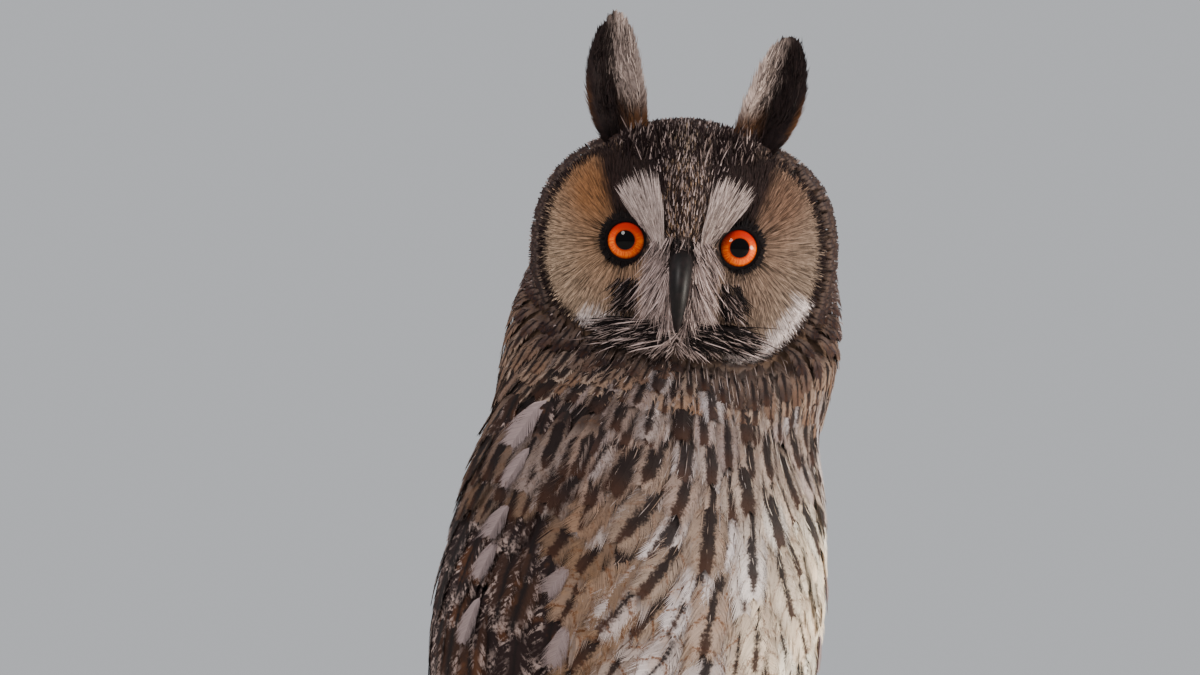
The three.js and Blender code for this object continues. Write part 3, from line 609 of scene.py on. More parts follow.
def is_clear(cells, key, p, gap):
    # True where no point kept so far, in this cell or beside it, is nearer than the gap
    for dx in (-1, 0, 1):
        for dy in (-1, 0, 1):
            for dz in (-1, 0, 1):
                for o in cells.get((key[0] + dx, key[1] + dy, key[2] + dz), ()):
                    if (o[0] - p[0]) ** 2 + (o[1] - p[1]) ** 2 + (o[2] - p[2]) ** 2 < gap * gap:
                        return False
    return True


def spread_roots(rng, around, heights, gap):
    # Degrees round and heights, spread evenly and further apart up and down than across
    tries = vectors(rng.uniform(*around, 4000), rng.uniform(*heights, 4000))
    flat = tries * np.array([1.05, 0.62])
    kept = [0]
    for i in range(1, len(tries)):
        if ((flat[kept] - flat[i]) ** 2).sum(axis=1).min() > gap ** 2:
            kept.append(i)
    return tries[kept]


# Body outline, in the body's frame

def outline(turn, height, inset):
    half, middle, front, back = np.moveaxis(along_table(BODY_STATIONS, height), -1, 0)
    forward = np.cos(np.radians(turn))
    deep = np.where(forward > 0, front - middle, middle - back)
    x = (half - inset) * np.sin(np.radians(turn))
    return vectors(x, middle + (deep - inset) * forward, height)


def outline_normal(turn, height):
    across = outline(turn + 2, height, 0) - outline(turn - 2, height, 0)
    down = outline(turn, height - 3, 0) - outline(turn, height + 3, 0)
    return unit(np.cross(down, across))


# Lie of the coat

def rim_radius(x, z):
    angle = np.degrees(np.arctan2(z, np.abs(x)))
    tuck = 1 - DISC_TUCK * bell(angle + 58, 24) * (x > 0)
    return along_table(DISC_RIM, angle)[..., 0] * tuck


def face_share(p):
    # 0 in the middle of the face, 1 at the rim of the disc
    return np.hypot(p[..., 0], p[..., 2]) / rim_radius(p[..., 0], p[..., 2])


def is_face(p):
    return (face_share(p) < 1.0) & (p[..., 1] > 2)


def coat_lie(points):
    # Down the body, leaning back over the flanks, and away from the face on the head
    body = seen_from(points, BODY)
    head = seen_from(points, HEAD)
    x, y, z = body.T
    turn = np.degrees(np.arctan2(np.abs(x), y))
    lean = 0.08 + 0.85 * smooth(8, 34, turn) * smooth(160, 80, turn)
    lean = lean * smooth(140, 175, z) * (1 - 0.7 * smooth(236, 264, z))
    lean = lean / np.maximum(np.hypot(x, y), 1)
    low = turned(unit(vectors(np.sign(x) * y * lean, -np.abs(x) * lean, -1)), BODY)
    away = unit(head - np.array([0, 34, -6]))
    away[:, 2] -= 1.3 * smooth(5, -28, head[:, 1])
    return mix(low, turned(unit(away), HEAD), smooth(-38, -16, head[:, 2]))


# Face

def face_masks(p):
    # Where each marking of the face is: 1 inside, 0 outside
    x = np.abs(p[..., 0])
    z = p[..., 2]
    share = face_share(p)
    angle = np.degrees(np.arctan2(z, x))
    owls_right = p[..., 0] > 0
    owls_left = p[..., 0] < 0
    inner, outer = np.moveaxis(along_table(BROW_EDGES, z), -1, 0)
    patch_start = outer + (8.5 - outer) * smooth(9, 14, z)
    patch_end = 21 + 0.32 * (z - 6)
    patch_across = smooth(patch_start - 3, patch_start, x) * smooth(patch_end + 4, patch_end - 2.5, x)
    crescent_across = band(share, 0.885 - 0.03 * owls_right, 0.968, 0.012)
    return {
        "brow": band(x, inner + 0.3, outer - 0.5, 0.7) * band(z, -6.5, 12, 2),
        "forehead": smooth(inner + 0.5, inner - 0.8, x) * smooth(-3, 0, z),
        "crown": smooth(27, 31, z) * smooth(26, 18, x),
        "nose": smooth(13, 8.5, x) * smooth(3, -3, z) * smooth(-31, -27, z),
        "tawny": blob(x - 29, 11, z - 16, 14),
        "socket": smooth(8.0, 7.2, np.hypot(x - IRIS_SIDE, z)),
        "corner": blob(x - 11.2 + 0.35 * (z - 3), 1.5, z - 2, 5.5),
        "patch": patch_across * band(z, 4, 29.5, 2.4),
        "spot": blob(x - 15.5 - 0.3 * (z + 15), 3.4, z + 15.5, 5),
        "moustache": bell(z + 28 + 0.15 * (x - 12), 3.4) * smooth(0.5, 3, x) * smooth(26, 20, x),
        "crescent": crescent_across * band(angle, -58 - 6 * owls_left, -39 + 18 * owls_left, 2.5),
        "rim": smooth(0.945, 0.965, share),
        "outer": smooth(0.55, 0.92, share),
        "low": smooth(-4, -22, z),
    }


def face_tint(p, luck):
    # The markings painted one over another, with a painted shade over the owl's left half, where luck
    # decides which single feathers take part
    m = face_masks(p)
    cap = np.maximum(m["forehead"], m["crown"])
    layers = (
        (LOWER_DISC, 0.7 * m["low"]),
        (OUTER_DISC, 0.8 * m["outer"]),
        (TAWNY, np.minimum(1.15 * m["tawny"], 0.95)),
        (DARK, 0.8 * m["spot"] * (luck < 0.7)),
        (PALE, 0.9 * m["nose"]),
        (GREY, m["nose"] * (luck < 0.2)),
        (DARK, 0.95 * cap * (luck < 0.72)),
        (PALE, 0.8 * cap * (luck > 0.86)),
        (WHITE, m["brow"] * (luck > 0.04)),
        # Painted shade: the owl's left half of the face, outside the brow, greyer and darker against the
        # brighter lamp on that side
        (PAINTED_SHADE_GREY, 0.5 * smooth(0, -12, p[:, 0]) * (1 - m["brow"])),
        (DARK, np.minimum(1.15 * m["patch"], 0.97)),
        (BLACK, 1.3 * np.maximum(m["socket"], m["corner"])),
        (BLACK, 1.3 * m["moustache"] * (luck < 0.6)),
        (WHITE, 1.3 * m["moustache"] * (luck > 0.8)),
        (DARK, m["rim"] * (luck < 0.93)),
        (BRIGHT, 1.5 * m["crescent"] * (luck > 0.05)),
    )
    c = BUFF
    for tint, share in layers:
        c = mix(c, tint, np.minimum(share, 1))
    return c


def face_lie(points):
    # Out from each eye, up along the brows, down beside the bill and outward under it
    p = seen_from(points, HEAD)
    x = np.abs(p[:, 0])
    z = p[:, 2]
    rising = unit(vectors(x - 4, 0.9 * z + 16))
    falling = unit(vectors(0.06 + 0.04 * x, -1))
    outward = unit(vectors(1, -0.22 - 0.012 * x))
    edge = along_table(BROW_EDGES, z)[:, 1] + 0.5
    flat = unit(vectors(x - IRIS_SIDE, z))
    flat = mix(flat, rising, smooth(edge + 1, edge - 1, x) * smooth(-4, 0, z))
    flat = mix(flat, falling, smooth(13, 9, x) * smooth(0, -4, z))
    flat = mix(flat, outward, bell(z + 28.5, 4.5) * smooth(29, 24, x))
    return turned(vectors(flat[:, 0] * np.sign(p[:, 0]), -0.1, flat[:, 1]), HEAD)


def face_points(surface, x, z):
    # Places of the face, seen from the front, that lie at x and z
    forward = Vector(turned(np.array([[0, -1.0, 0]]), HEAD)[0])
    flat = vectors(x, 60, z)
    hits = [surface.tree.ray_cast(Vector(p), forward)[0] for p in placed(flat, HEAD)]
    return np.array([hit for hit in hits if hit is not None])


def face_roots(surface, rng, gap):
    # A jittered grid over the face
    steps = np.arange(-50, 50, gap)
    x, z = [v.ravel() for v in np.meshgrid(steps, steps)]
    x = x + rng.uniform(-gap, gap, len(x)) * 0.6
    z = z + rng.uniform(-gap, gap, len(z)) * 0.6
    from_eye = np.hypot(np.abs(x) - IRIS_SIDE, z)
    on_bill = (np.abs(x) < 3.4) & (z < -6) & (z > -26)
    flat = vectors(x, 0, z)
    keep = (face_share(flat) < 1.0) & (from_eye > LID_OPENING + 0.8) & ~on_bill
    return face_points(surface, x[keep], z[keep])


def facing(path, up=0.0, matrix=HEAD):
    # Forward, the same for every point of some paths
    return turned(np.broadcast_to(np.array([0, 1.0, up]), path.shape), matrix)


def face_coat(surface, rng):
    coat = Coat(HEAD, rng)
    for gap, width, depth in FACE_LAYERS:
        roots = face_roots(surface, rng, gap)
        p = seen_from(roots, HEAD)
        n = len(p)
        m = face_masks(p)
        luck = rng.random(n)
        path, normal = surface.march(roots, face_lie, hair_length(p, m, rng), 4)
        lift = 0.35 + 0.8 * m["nose"] + 1.2 * m["moustache"] + 0.8 * m["brow"] + 0.5 * m["rim"]
        lift = (lift + 0.7 * m["crown"]) * rng.uniform(0.3, 1.5, n)
        plain = (m["brow"] < 0.3) & (m["crescent"] < 0.3) & (m["nose"] < 0.5)
        shade = rng.uniform(0.72, 1.22, (n, 1))
        shade = np.where(plain[:, None] & (rng.random((n, 1)) < 0.2), shade * 0.4, shade)
        stray = rng.normal(0, 0.55, p.shape)
        tint = face_tint(p + stray, luck) * shade
        tip = np.clip(face_tint(seen_from(path[:, -1], HEAD) + stray, luck) * shade * 1.1, 0, 1)
        filaments(coat, path, normal, width, tint, tip, depth, lift)
    brow_fans(coat, surface, rng)
    lashes(coat, rng)
    for bristles in BRISTLE_SETS:
        bill_bristles(coat, surface, rng, *bristles)
    flecks(coat, surface, rng)
    crest(coat, surface, rng)
    return coat


def hair_length(p, m, rng):
    # Shorter at the eyes, on the crown and towards the rim, which no feather passes by much
    length = FACE_HAIR * rng.uniform(0.7, 1.2, len(p))
    length = length * (1 - 0.6 * np.clip(m["socket"] + m["corner"], 0, 1)) * (1 - 0.25 * m["patch"])
    length = length * (1 - 0.5 * np.clip(m["forehead"] + m["crown"], 0, 1))
    length = length * (1 - 0.72 * smooth(0.78, 0.93, face_share(p)))
    length = length * (1 + 0.3 * m["nose"] + 0.3 * m["moustache"])
    to_rim = (0.99 - face_share(p)) * rim_radius(p[:, 0], p[:, 2])
    return np.minimum(length, np.maximum(to_rim, 0.2) + rng.uniform(0.3, 1.3, len(p)))


def brow_fans(coat, surface, rng):
    # Long white feathers that rise from beside the bill and spread over the eye, with separate tips
    count = 2300
    side = rng.choice([-1.0, 1.0], count)
    start = rng.uniform(2, 22, count)
    turn = np.radians(8 + (15 + 11 * smooth(6, 17, start)) * rng.random(count))
    limit = 34.5 - 0.022 * (np.degrees(turn) - 17) ** 2 + rng.normal(0, 1.6, count)
    end = np.minimum(start + rng.uniform(7, 12, count), limit)
    steps = np.linspace(0, 1, 5)
    reach = start[:, None] + (end - start)[:, None] * steps
    curl = 0.0016 * reach ** 2 * rng.normal(0.5, 0.5, (count, 1))
    x = (BROW_PIVOT[0] + reach * np.sin(turn)[:, None] + curl) * side[:, None]
    z = BROW_PIVOT[1] + reach * np.cos(turn)[:, None]
    places = face_points(surface, x.ravel(), z.ravel()).reshape(count, 5, 3)
    rise = (0.6 + 1.6 * steps[None, :] * rng.uniform(0.3, 1, (count, 1)))[..., None]
    path = places + turned(np.array([0, 1.0, 0.1]), HEAD) * rise * MM
    lock = 0.16 * np.sin(np.degrees(turn) * 2.6 + 4 * side)
    shade = (rng.uniform(0.5, 1.0, count) + lock)[:, None]
    shade = shade * np.where(rng.random((count, 1)) < 0.07, 0.3, 1)
    filaments(coat, path, facing(path, 0.2), 0.3, PALE * shade, WHITE * shade)


def lashes(coat, rng):
    # Short black bristles that break the edge of the lids
    count = 420
    tint = np.tile(BLACK, (count, 1))
    for _, side in SIDES:
        turn = rng.uniform(0, FULL_TURN, count)
        inner_high = 0.5 + 0.5 * np.cos(turn - math.radians(90 + side * 50))
        start = LID_OPENING + rng.uniform(0.7, 1.5, count)
        length = rng.uniform(0.9, 1.9, count) * (1 + 0.9 * inner_high)
        reach = start[:, None] + length[:, None] * np.linspace(0, 1, 4)
        height = math.sqrt(EYE_RADIUS ** 2 - LID_OPENING ** 2) + 0.75 - 0.3 * (reach - LID_OPENING)
        flat = vectors(reach * np.cos(turn)[:, None], height, reach * np.sin(turn)[:, None])
        path = placed(flat, eye_matrix(side))
        filaments(coat, path, facing(path, matrix=eye_matrix(side)), 0.5, tint, tint)


def bent_paths(roots, reach, leave, bend):
    # Paths in the air that leave their roots one way and bend another
    t = np.linspace(0, 1, 5)[None, :, None]
    return roots[:, None] + turned(reach * (leave[:, None] * t + bend[:, None] * t * t), HEAD) * MM


def bill_bristles(coat, surface, rng, count, across, height, leave, bend, length, dark, pale, width):
    # One set of bristles beside or under the bill, on both sides
    side = rng.choice([-1.0, 1.0], count)
    x = rng.uniform(*across, count)
    z = rng.uniform(*height, count)
    roots = face_points(surface, x * side, z)
    n = len(roots)
    at = seen_from(roots, HEAD)
    mirror = vectors(np.sign(at[:, 0]), 1, 1)
    # Neighbours lean together, in locks
    lock = 0.26 * np.sin(1.5 * at[:, 0] + 2.1 * np.sin(0.7 * at[:, 2]))
    go = (np.array(leave) + rng.normal(0, 0.11, (n, 3))) * mirror
    go[:, 0] += lock
    turn = (np.array(bend) + rng.normal(0, 0.12, (n, 3))) * mirror
    turn[:, 0] += 0.8 * lock
    reach = rng.uniform(*length, (n, 1, 1))
    # None crosses an eye
    end = at + reach[:, 0] * (go + turn)
    on_eye = np.hypot(np.abs(end[:, 0]) - IRIS_SIDE, end[:, 2]) < 7.5
    path = bent_paths(roots, reach * np.where(on_eye, 0.35, 1)[:, None, None], go, turn)
    luck = rng.random((n, 1)) + 0.25 * lock[:, None]
    tint = np.where(luck < dark, BLACK, np.where(luck > 1 - pale, PALE, GREY))
    tint = tint * rng.uniform(0.7, 1.25, (n, 1))
    filaments(coat, path, facing(path, 0.2), width, tint, tint * 1.1)


def crest(coat, surface, rng):
    # Upright feathers at the tufts' inner feet and across the crown
    count = 900
    x = rng.choice([-1.0, 1.0], count) * rng.triangular(1, 15, 23, count)
    roots = face_points(surface, x, rng.uniform(25, 34, count))
    n = len(roots)
    length = rng.uniform(2, 5.5, (n, 1, 1))
    lean = rng.normal(0, 0.2, n) + 0.3 * np.sin(seen_from(roots, HEAD)[:, 0] * 1.4)
    go = vectors(lean, 0.3, 1)
    path = bent_paths(roots, length, go, 0 * go)
    luck = rng.random((n, 1))
    tint = np.where(luck < 0.84, DARK, np.where(luck < 0.94, GREY, PALE)) * rng.uniform(0.7, 1.2, (n, 1))
    filaments(coat, path, facing(path, 0.1), 0.45, tint, tint)


def fleck_spacing(points):
    p = seen_from(points, HEAD)
    share = face_share(p)
    m = face_masks(p)
    ruff = (share > 1.05) & (share < 1.22) & (p[:, 1] > -8)
    cap = (np.maximum(m["forehead"], m["crown"]) > 0.5) & (p[:, 1] > -10)
    gap = np.where(cap, 1.1, 1.0 + 2.2 * smooth(-6, -22, p[:, 2]))
    return np.where((ruff | cap) & (p[:, 2] > -34), gap, 0)


def flecks(coat, surface, rng):
    # Fine pale flecks on the forehead, the crown and round the rim
    roots = surface.scatter(fleck_spacing, rng, 220000)
    p = seen_from(roots, HEAD)
    n = len(p)
    path, normal = surface.march(roots, coat_lie, rng.uniform(1.2, 2.6, n), 3)
    dark = rng.random((n, 1)) < 0.42
    tint = np.where(dark, DARK, PALE * rng.uniform(0.3, 0.85, (n, 1)))
    ruff = face_share(p) > 1
    path = path + normal * (ruff * (0.6 + 1.3 * smooth(-20, -40, p[:, 0])))[:, None, None] * MM
    lift = np.where(ruff, 0.5, 0.75 + 1.2 * smooth(24, 32, p[:, 2]) * rng.random(n))
    filaments(coat, path, normal, 0.48, tint, tint, np.where(ruff, 1.2, -0.35)[:, None], lift)


# Coat of the head outside the disc

def head_spacing(points):
    p = seen_from(points, HEAD)
    wanted = ((p[:, 1] <= 2) | (face_share(p) >= 0.97)) & (p[:, 2] > -42)
    return np.where(wanted, 2.0 + 1.9 * smooth(15, -20, p[:, 1]) + 1.9 * smooth(-14, -35, p[:, 2]), 0)


def head_coat(surface, rng):
    coat = Coat(HEAD, rng)
    roots = surface.scatter(head_spacing, rng, 70000)
    p = seen_from(roots, HEAD)
    x, y, z = p.T
    share = face_share(p)
    behind = smooth(15, -22, y)
    low = smooth(-12, -36, z)
    path, normal = surface.march(roots, coat_lie, 5 + 6 * behind + 8 * low, 6)
    # The ruff stands out a little on the owl's left
    stand = 1.6 * smooth(-20, -40, x) * smooth(1.25, 1.0, share) * (y > -14)
    path = path + normal * (stand[:, None] * smooth(0, 0.6, np.linspace(0, 1, 6)))[..., None] * MM
    luck = rng.random(len(p))
    near_rim = smooth(1.22, 1.04, share) * smooth(-16, -4, y) * (1 - 0.5 * smooth(-22, -36, z))
    crown = smooth(18, 34, z) * smooth(-14, 8, y)
    ruff = mix(colour(92, 78, 76), colour(50, 36, 36), smooth(-2, -18, z))
    base = mix(colour(100, 74, 58), colour(150, 130, 116), luck * (0.45 + 0.5 * low))
    base = mix(base, ruff, np.minimum(1.2 * near_rim, 1))
    base = mix(base, DARK, smooth(1.07, 1.03, share) * (y > -6) * 0.85)
    base = mix(base, DARK, 0.75 * crown)
    streak = (0.16 + 0.3 * luck) * (1 - 0.6 * near_rim) * (1 - 0.4 * behind)
    mottle = 0.3 + 0.3 * np.maximum(near_rim, crown) + 0.2 * behind
    mark = vectors(streak, 0.2 + 0.5 * behind, mottle)
    barbed(coat, path, normal, 2.6 + 2.6 * behind + 3 * low, base, mark, depth=1.6, lift=0.5, fray=0.16)
    return coat


# Coat of the neck, breast, belly and back

BREAST_BARBS = {"cup": 0.05, "fray": 0.07, "pointed": 3.2, "sweep": 1.5}


def covered_by_wing(b):
    turn = degrees_round(b - np.array([0, 2, 0]))
    return (turn > 62) & (turn < 148) & (b[:, 2] < 244) & (b[:, 2] > 150)


def body_spacing_at(gap):
    def spacing(points):
        b = seen_from(points, BODY)
        h = seen_from(points, HEAD)
        wanted = (h[:, 2] < -32) & ~covered_by_wing(b) & (b[:, 2] > 100)
        wanted &= ~(is_face(h) & (h[:, 2] > -38))
        return np.where(wanted, gap * (1 - 0.32 * smooth(240, 288, b[:, 2])), 0)
    return spacing


def breast_tint(b, luck, luck2):
    # Painted sunlight makes it paler and creamier on the owl's left, painted shade darker and warmer
    # towards its right; greyer above and brown behind
    front = smooth(85, 55, degrees_round(b))
    high = smooth(240, 284, b[:, 2])
    # Painted shade, darker and warmer towards the owl's right flank
    flank = smooth(0, 34, b[:, 0])
    # Painted sunlight, paler and creamier low on the owl's left, on the body and on the feathers' tips
    sunny = smooth(4, -30, b[:, 0]) * smooth(272, 248, b[:, 2])
    c = mix(colour(164, 146, 134), colour(250, 230, 204), sunny)
    c = mix(c, colour(112, 88, 70), flank)
    tips = mix(colour(192, 184, 188), colour(255, 246, 228), sunny)
    c = mix(c, tips, smooth(0.3, 0.9, luck) * (0.9 - 0.4 * flank))
    c = mix(c, colour(140, 104, 72), smooth(0.6, 1, luck2) * 0.4)
    c = mix(c, colour(130, 114, 112), high * (0.3 + 0.6 * luck2))
    return mix(c, colour(84, 62, 48), (1 - front) * (0.6 + 0.4 * luck))


def two_lucks(rng, n):
    return rng.random(n), rng.random(n)


def breast_marks(b, rng):
    # Each feather's tint, and its shares of streak, bars and mottling
    n = len(b)
    high = smooth(232, 274, b[:, 2])
    back = smooth(0, -30, b[:, 1])
    tint = breast_tint(b, *two_lucks(rng, n)) * rng.uniform(0.78, 1.12, (n, 1))
    streak = 0.08 + 0.09 * smooth(-30, 5, b[:, 0]) + 0.22 * high * (1 - 0.6 * back) + 0.05 * back
    streak = streak * rng.uniform(0.5, 1.35, n) * np.where(rng.random(n) < 0.25, 1.6, 1)
    bars = 0.25 + 0.65 * smooth(262, 225, b[:, 2]) * smooth(-35, 5, b[:, 0])
    return tint, vectors(streak, bars, 0.15 + 0.45 * back + 0.4 * high)


def body_coat(surface, rng):
    coat = Coat(BODY, rng)
    for gap, pairs, long, wide, sunk in BODY_LAYERS:
        roots = surface.scatter(body_spacing_at(gap), rng, 45000, 0.62)
        b = seen_from(roots, BODY)
        size = 1 - 0.45 * smooth(236, 284, b[:, 2])
        n = len(b)
        path, normal = surface.march(roots, coat_lie, long * size * rng.uniform(0.88, 1.12, n), 10)
        width = wide * size * rng.uniform(0.85, 1.1, n)
        tint, mark = breast_marks(b, rng)
        barbed(coat, path, normal, width, tint * (1 - 0.12 * sunk), mark, pairs=pairs, depth=4.0 + sunk,
               lift=0.9 - sunk, **BREAST_BARBS)
    wisps(coat, surface, rng)
    return coat


def wisps(coat, surface, rng):
    # Loose pale barbs that soften the breast
    roots = surface.scatter(body_spacing_at(3.0), rng, 60000)
    b = seen_from(roots, BODY)
    n = len(b)
    path, normal = surface.march(roots, coat_lie, rng.uniform(4, 9, n), 5)
    tint = breast_tint(b, *two_lucks(rng, n)) * rng.uniform(0.75, 1.1, (n, 1))
    filaments(coat, path, normal, 0.3, tint, tint, -0.2, rng.uniform(0.4, 1.1, n))


def flank_feathers(side, rng):
    # Breast feathers over the wing's front edge, and neck feathers over its top
    coat = Coat(BODY, rng)
    for around, heights, gap, drift, long, wide, sunk in FLANK_SETS:
        spot = spread_roots(rng, around, heights, gap)
        n = len(spot)
        turn = along_table(WING_FRONT, spot[:, 1])[..., 0] + spot[:, 0]
        root = vectors(turn, spot[:, 1], 3.5 + sunk * smooth(264, 284, spot[:, 1]))
        length = long * rng.uniform(0.85, 1.1, n)
        tip_inset = rng.uniform(-1.0, -0.3, n)
        move = vectors(rng.uniform(*drift, n), -0.88 * length, tip_inset - root[:, 2])
        path, normal = wing_paths(side, root, root + move)
        tint, mark = breast_marks(seen_from(path[:, 0], BODY), rng)
        barbed(coat, path, normal, wide, tint * 0.85, mark, pairs=56, **BREAST_BARBS)
    return coat


# Wings

def wing_paths(side, root, tip, stations=9):
    t = np.linspace(0, 1, stations)[None, :]
    turn = side * (root[:, :1] + (tip[:, :1] - root[:, :1]) * t)
    height = root[:, 1:2] + (tip[:, 1:2] - root[:, 1:2]) * t
    inset = root[:, 2:] - (root[:, 2:] - tip[:, 2:]) * (0.55 * smooth(0, 0.2, t) + 0.45 * t)
    return placed(outline(turn, height, inset), BODY), turned(outline_normal(turn, height), BODY)


def wing_row(side, count, first, last, width, rng, vary, stations=9):
    # One row of feathers, from its first one's root and tip to its last one's
    s = np.linspace(0, 1, count)[:, None]
    root, tip = [(1 - s) * np.array(a, float) + s * np.array(b, float) for a, b in zip(first, last)]
    tip = tip + rng.uniform(-1, 1, (count, 3)) * np.array([2.0, 2.6, 0.2]) * vary
    path, normal = wing_paths(side, root, tip, stations)
    return path, normal, width * rng.uniform(0.92, 1.08, count)


def wing_flight(side, rng):
    coat = Coat(BODY, rng)
    for count, first, last, width in QUILL_ROWS:
        path, normal, wide = wing_row(side, count, first, last, width, rng, 0.3, 14)
        tint = mix(WING_GREY, WING_WARM, rng.random(count) * 0.5)
        stiff_vanes(coat, path, normal, wide, tint, np.tile([0.12, 0.9, 0.75], (count, 1)), -side * 0.13)
    return coat


def wing_coverts(side, rng):
    # The greater coverts in a row, and over them the smaller coverts and the scapulars, loosely laid
    coat = Coat(BODY, rng)
    path, normal, wide = wing_row(side, *COVERT_ROW, rng, 1)
    cover(coat, path, normal, wide)
    for gap, deep in LOOSE_COVERTS:
        root, length = covert_roots(rng, gap)
        n = len(root)
        back = smooth(90, 150, root[:, 0])
        move = vectors(3 + 9 * back + rng.normal(0, 2, n), -length, deep - root[:, 2] - 0.6)
        path, normal = wing_paths(side, root, root + move)
        width = (0.4 + 0.1 * smooth(230, 262, root[:, 1])) * length * rng.uniform(0.85, 1.2, n)
        cover(coat, path, normal, width)
    for top, bottom, width in WING_SPOTS:
        sunk = 0.3 + 5 * smooth(262, 272, top[1])
        path, normal = wing_paths(side, np.array([[*top, sunk]]), np.array([[*bottom, -1.1]]))
        mark = np.array([[0.02, 0, 0]])
        barbed(coat, path, normal, width * 1.25, WING_PALE[None], mark, pairs=64, cup=0.06, fray=0.1,
               sweep=1.6, pointed=2.6)
    return coat


def covert_roots(rng, gap):
    # Spread over the folded wing, and each one's length
    spot = spread_roots(rng, (40, 160), (186, 275), gap)
    spot = spot[spot[:, 0] > along_table(WING_FRONT, spot[:, 1])[..., 0] - 2]
    root = np.concatenate([spot, np.full((len(spot), 1), 3.6)], axis=1)
    return root, 22 + 15 * smooth(262, 200, root[:, 1]) + rng.uniform(-2, 2, len(root))


def cover(coat, path, normal, width):
    # Dark soft feathers of the wing, some of them warmer
    luck, luck2 = two_lucks(coat.rng, len(path))
    tint = mix(WING_BROWN, WING_WARM, smooth(0.6, 1, luck) * 0.3)
    mark = vectors(0.1 + 0.3 * luck ** 2, 0.75 + 0.25 * luck2, 0)
    barbed(coat, path, normal, width, tint, mark, pairs=52, cup=0.035, fray=0.06, pointed=4)


# Tail

def tail_coat(rng):
    # Twelve feathers in a slight fan, the outer ones a little shorter and further in
    coat = Coat(BODY, rng)
    count = TAIL_FEATHERS
    place = ((np.arange(count) + 0.5) / count * 2 - 1)[:, None]
    outer = np.abs(place)
    t = np.linspace(0, 1, 12)[None, :]
    x = place * (8 + 9.5 * t)
    z = TAIL_ROOT_HEIGHT + (TAIL_TIP_HEIGHT + 7 * outer ** 2 - TAIL_ROOT_HEIGHT) * t
    y = TAIL_ROOT_Y - TAIL_SLOPE * (TAIL_ROOT_HEIGHT - z) + 0.012 * x ** 2 + 2.2 * outer * smooth(0, 0.3, t)
    path = placed(vectors(x, y, z), BODY)
    normal = turned(unit(vectors(0.1 * place, -1, 0 * x)), BODY)
    mark = np.tile([0.1, 1.0, 0.6], (count, 1))
    stiff_vanes(coat, path, normal, 14.5, np.tile(TAIL_BUFF, (count, 1)), mark)
    return coat


# Ear tufts

def tuft_middle(side, rise):
    # The middle line of a tuft, in the head's frame on the owl's right
    bulge = np.sin(np.pi * np.clip(rise, 0, 1))[..., None] * TUFT_BULGE
    return TUFT_BASE + rise[..., None] * (TUFT_TIPS[side] - TUFT_BASE) + bulge


def tuft_paths(side, rise, aside, forward):
    # Lines up a tuft, so far to the side of its middle line and so far in front of it
    points = tuft_middle(side, rise)
    points[..., 0] += aside * (0.6 + 0.45 * np.sin(np.pi * np.clip(rise, 0, 1) ** 0.8) - 0.12 * rise)
    points[..., 1] += forward
    return placed(points * np.array([side, 1, 1]), HEAD)


def tuft_tint(side):
    def tint(points, place):
        p = seen_from(points, HEAD) * np.array([side, 1, 1])
        luck = place[..., 2]
        rise = (p[..., 2] - TUFT_BASE[2]) / (TUFT_TIPS[side] - TUFT_BASE)[2]
        across = (p[..., 0] - tuft_middle(side, rise)[..., 0]) / (TUFT_WIDTH / 2)
        wave = 0.09 * np.sin(rise * 23 + luck * 6) + 0.14 * np.sin(luck * 90)
        border = (0.02 if side > 0 else -0.14) - 0.3 * smooth(0.6, 0.25, rise)
        pale = smooth(0.15, -0.15, across - border + wave) * smooth(0.22, 0.42, rise)
        ochre = smooth(0.46, 0.2, rise) * smooth(0.1, -0.35, across) * smooth(0.02, 0.16, rise)
        rim = smooth(0.78, 0.98, across) * smooth(0.6, 0.25, rise)
        warm = (0.62 + 0.3 * np.sin(luck * 70)) * np.maximum(0.8 * ochre, rim)
        speck = (np.sin(p[..., 2] * 2.1 + luck * 40) * np.sin(p[..., 0] * 3.3) > 0.45) * pale
        c = mix(colour(20, 11, 12), colour(104, 68, 40), warm)
        c = mix(c, colour(178, 158, 150), pale * (0.75 + 0.25 * np.sin(luck * 50)))
        return mix(c, colour(40, 26, 26), 0.75 * speck)
    return tint


def tuft_coat(side, rng):
    coat = Coat(HEAD, rng)
    for count, scale, width, deep in TUFT_FEATHERS:
        place = np.linspace(-1, 1, count)[:, None]
        height = scale * (0.89 + 0.11 * (1 - place ** 2) + 0.03 * rng.uniform(-1, 1, (count, 1)))
        t = np.linspace(0, 1, 10)[None, :]
        rise = t * height - 0.08 * (1 - t)
        forward = 3.4 * place ** 2 * np.sin(np.pi * t) - deep
        path = tuft_paths(side, rise, place * (TUFT_WIDTH - width) / 2, forward)
        normal = vectors(-0.35 * place * side, 1, 0 * rise)
        none = np.zeros((count, 3))
        barbed(coat, path, turned(unit(normal), HEAD), width, none, none, pairs=60, cup=0.06, fray=0.14,
               sweep=1.9, pointed=3, colouring=tuft_tint(side))
    tuft_hairs(coat, side, rng)
    return coat


def tuft_hairs(coat, side, rng):
    # Loose barbs over each tuft, which break the edge between its dark and its pale web
    count = 420
    place = rng.uniform(-1, 1, (count, 1))
    start = rng.uniform(0.05, 0.86, (count, 1))
    rise = start + rng.uniform(0.07, 0.16, (count, 1)) * np.linspace(0, 1, 4)
    fan = place + rng.normal(0, 0.12, (count, 1)) * np.linspace(0, 1, 4)
    forward = 3.4 * place ** 2 * np.sin(np.pi * rise) + 0.5 + 1.7 * smooth(0.52, 0.28, rise)
    path = tuft_paths(side, rise, fan * (TUFT_WIDTH / 2 - 2.4), forward)
    shade = np.where(rng.random((count, 1)) < 0.15, 0.2, rng.uniform(0.6, 1.15, (count, 1)))
    ends = path[:, [0, -1]]
    tints = tuft_tint(side)(ends, np.broadcast_to(rng.random((count, 1, 1)), ends.shape))
    filaments(coat, path, facing(path), 0.34, tints[:, 0] * shade, tints[:, 1] * shade, lift=0.5)


# Skin

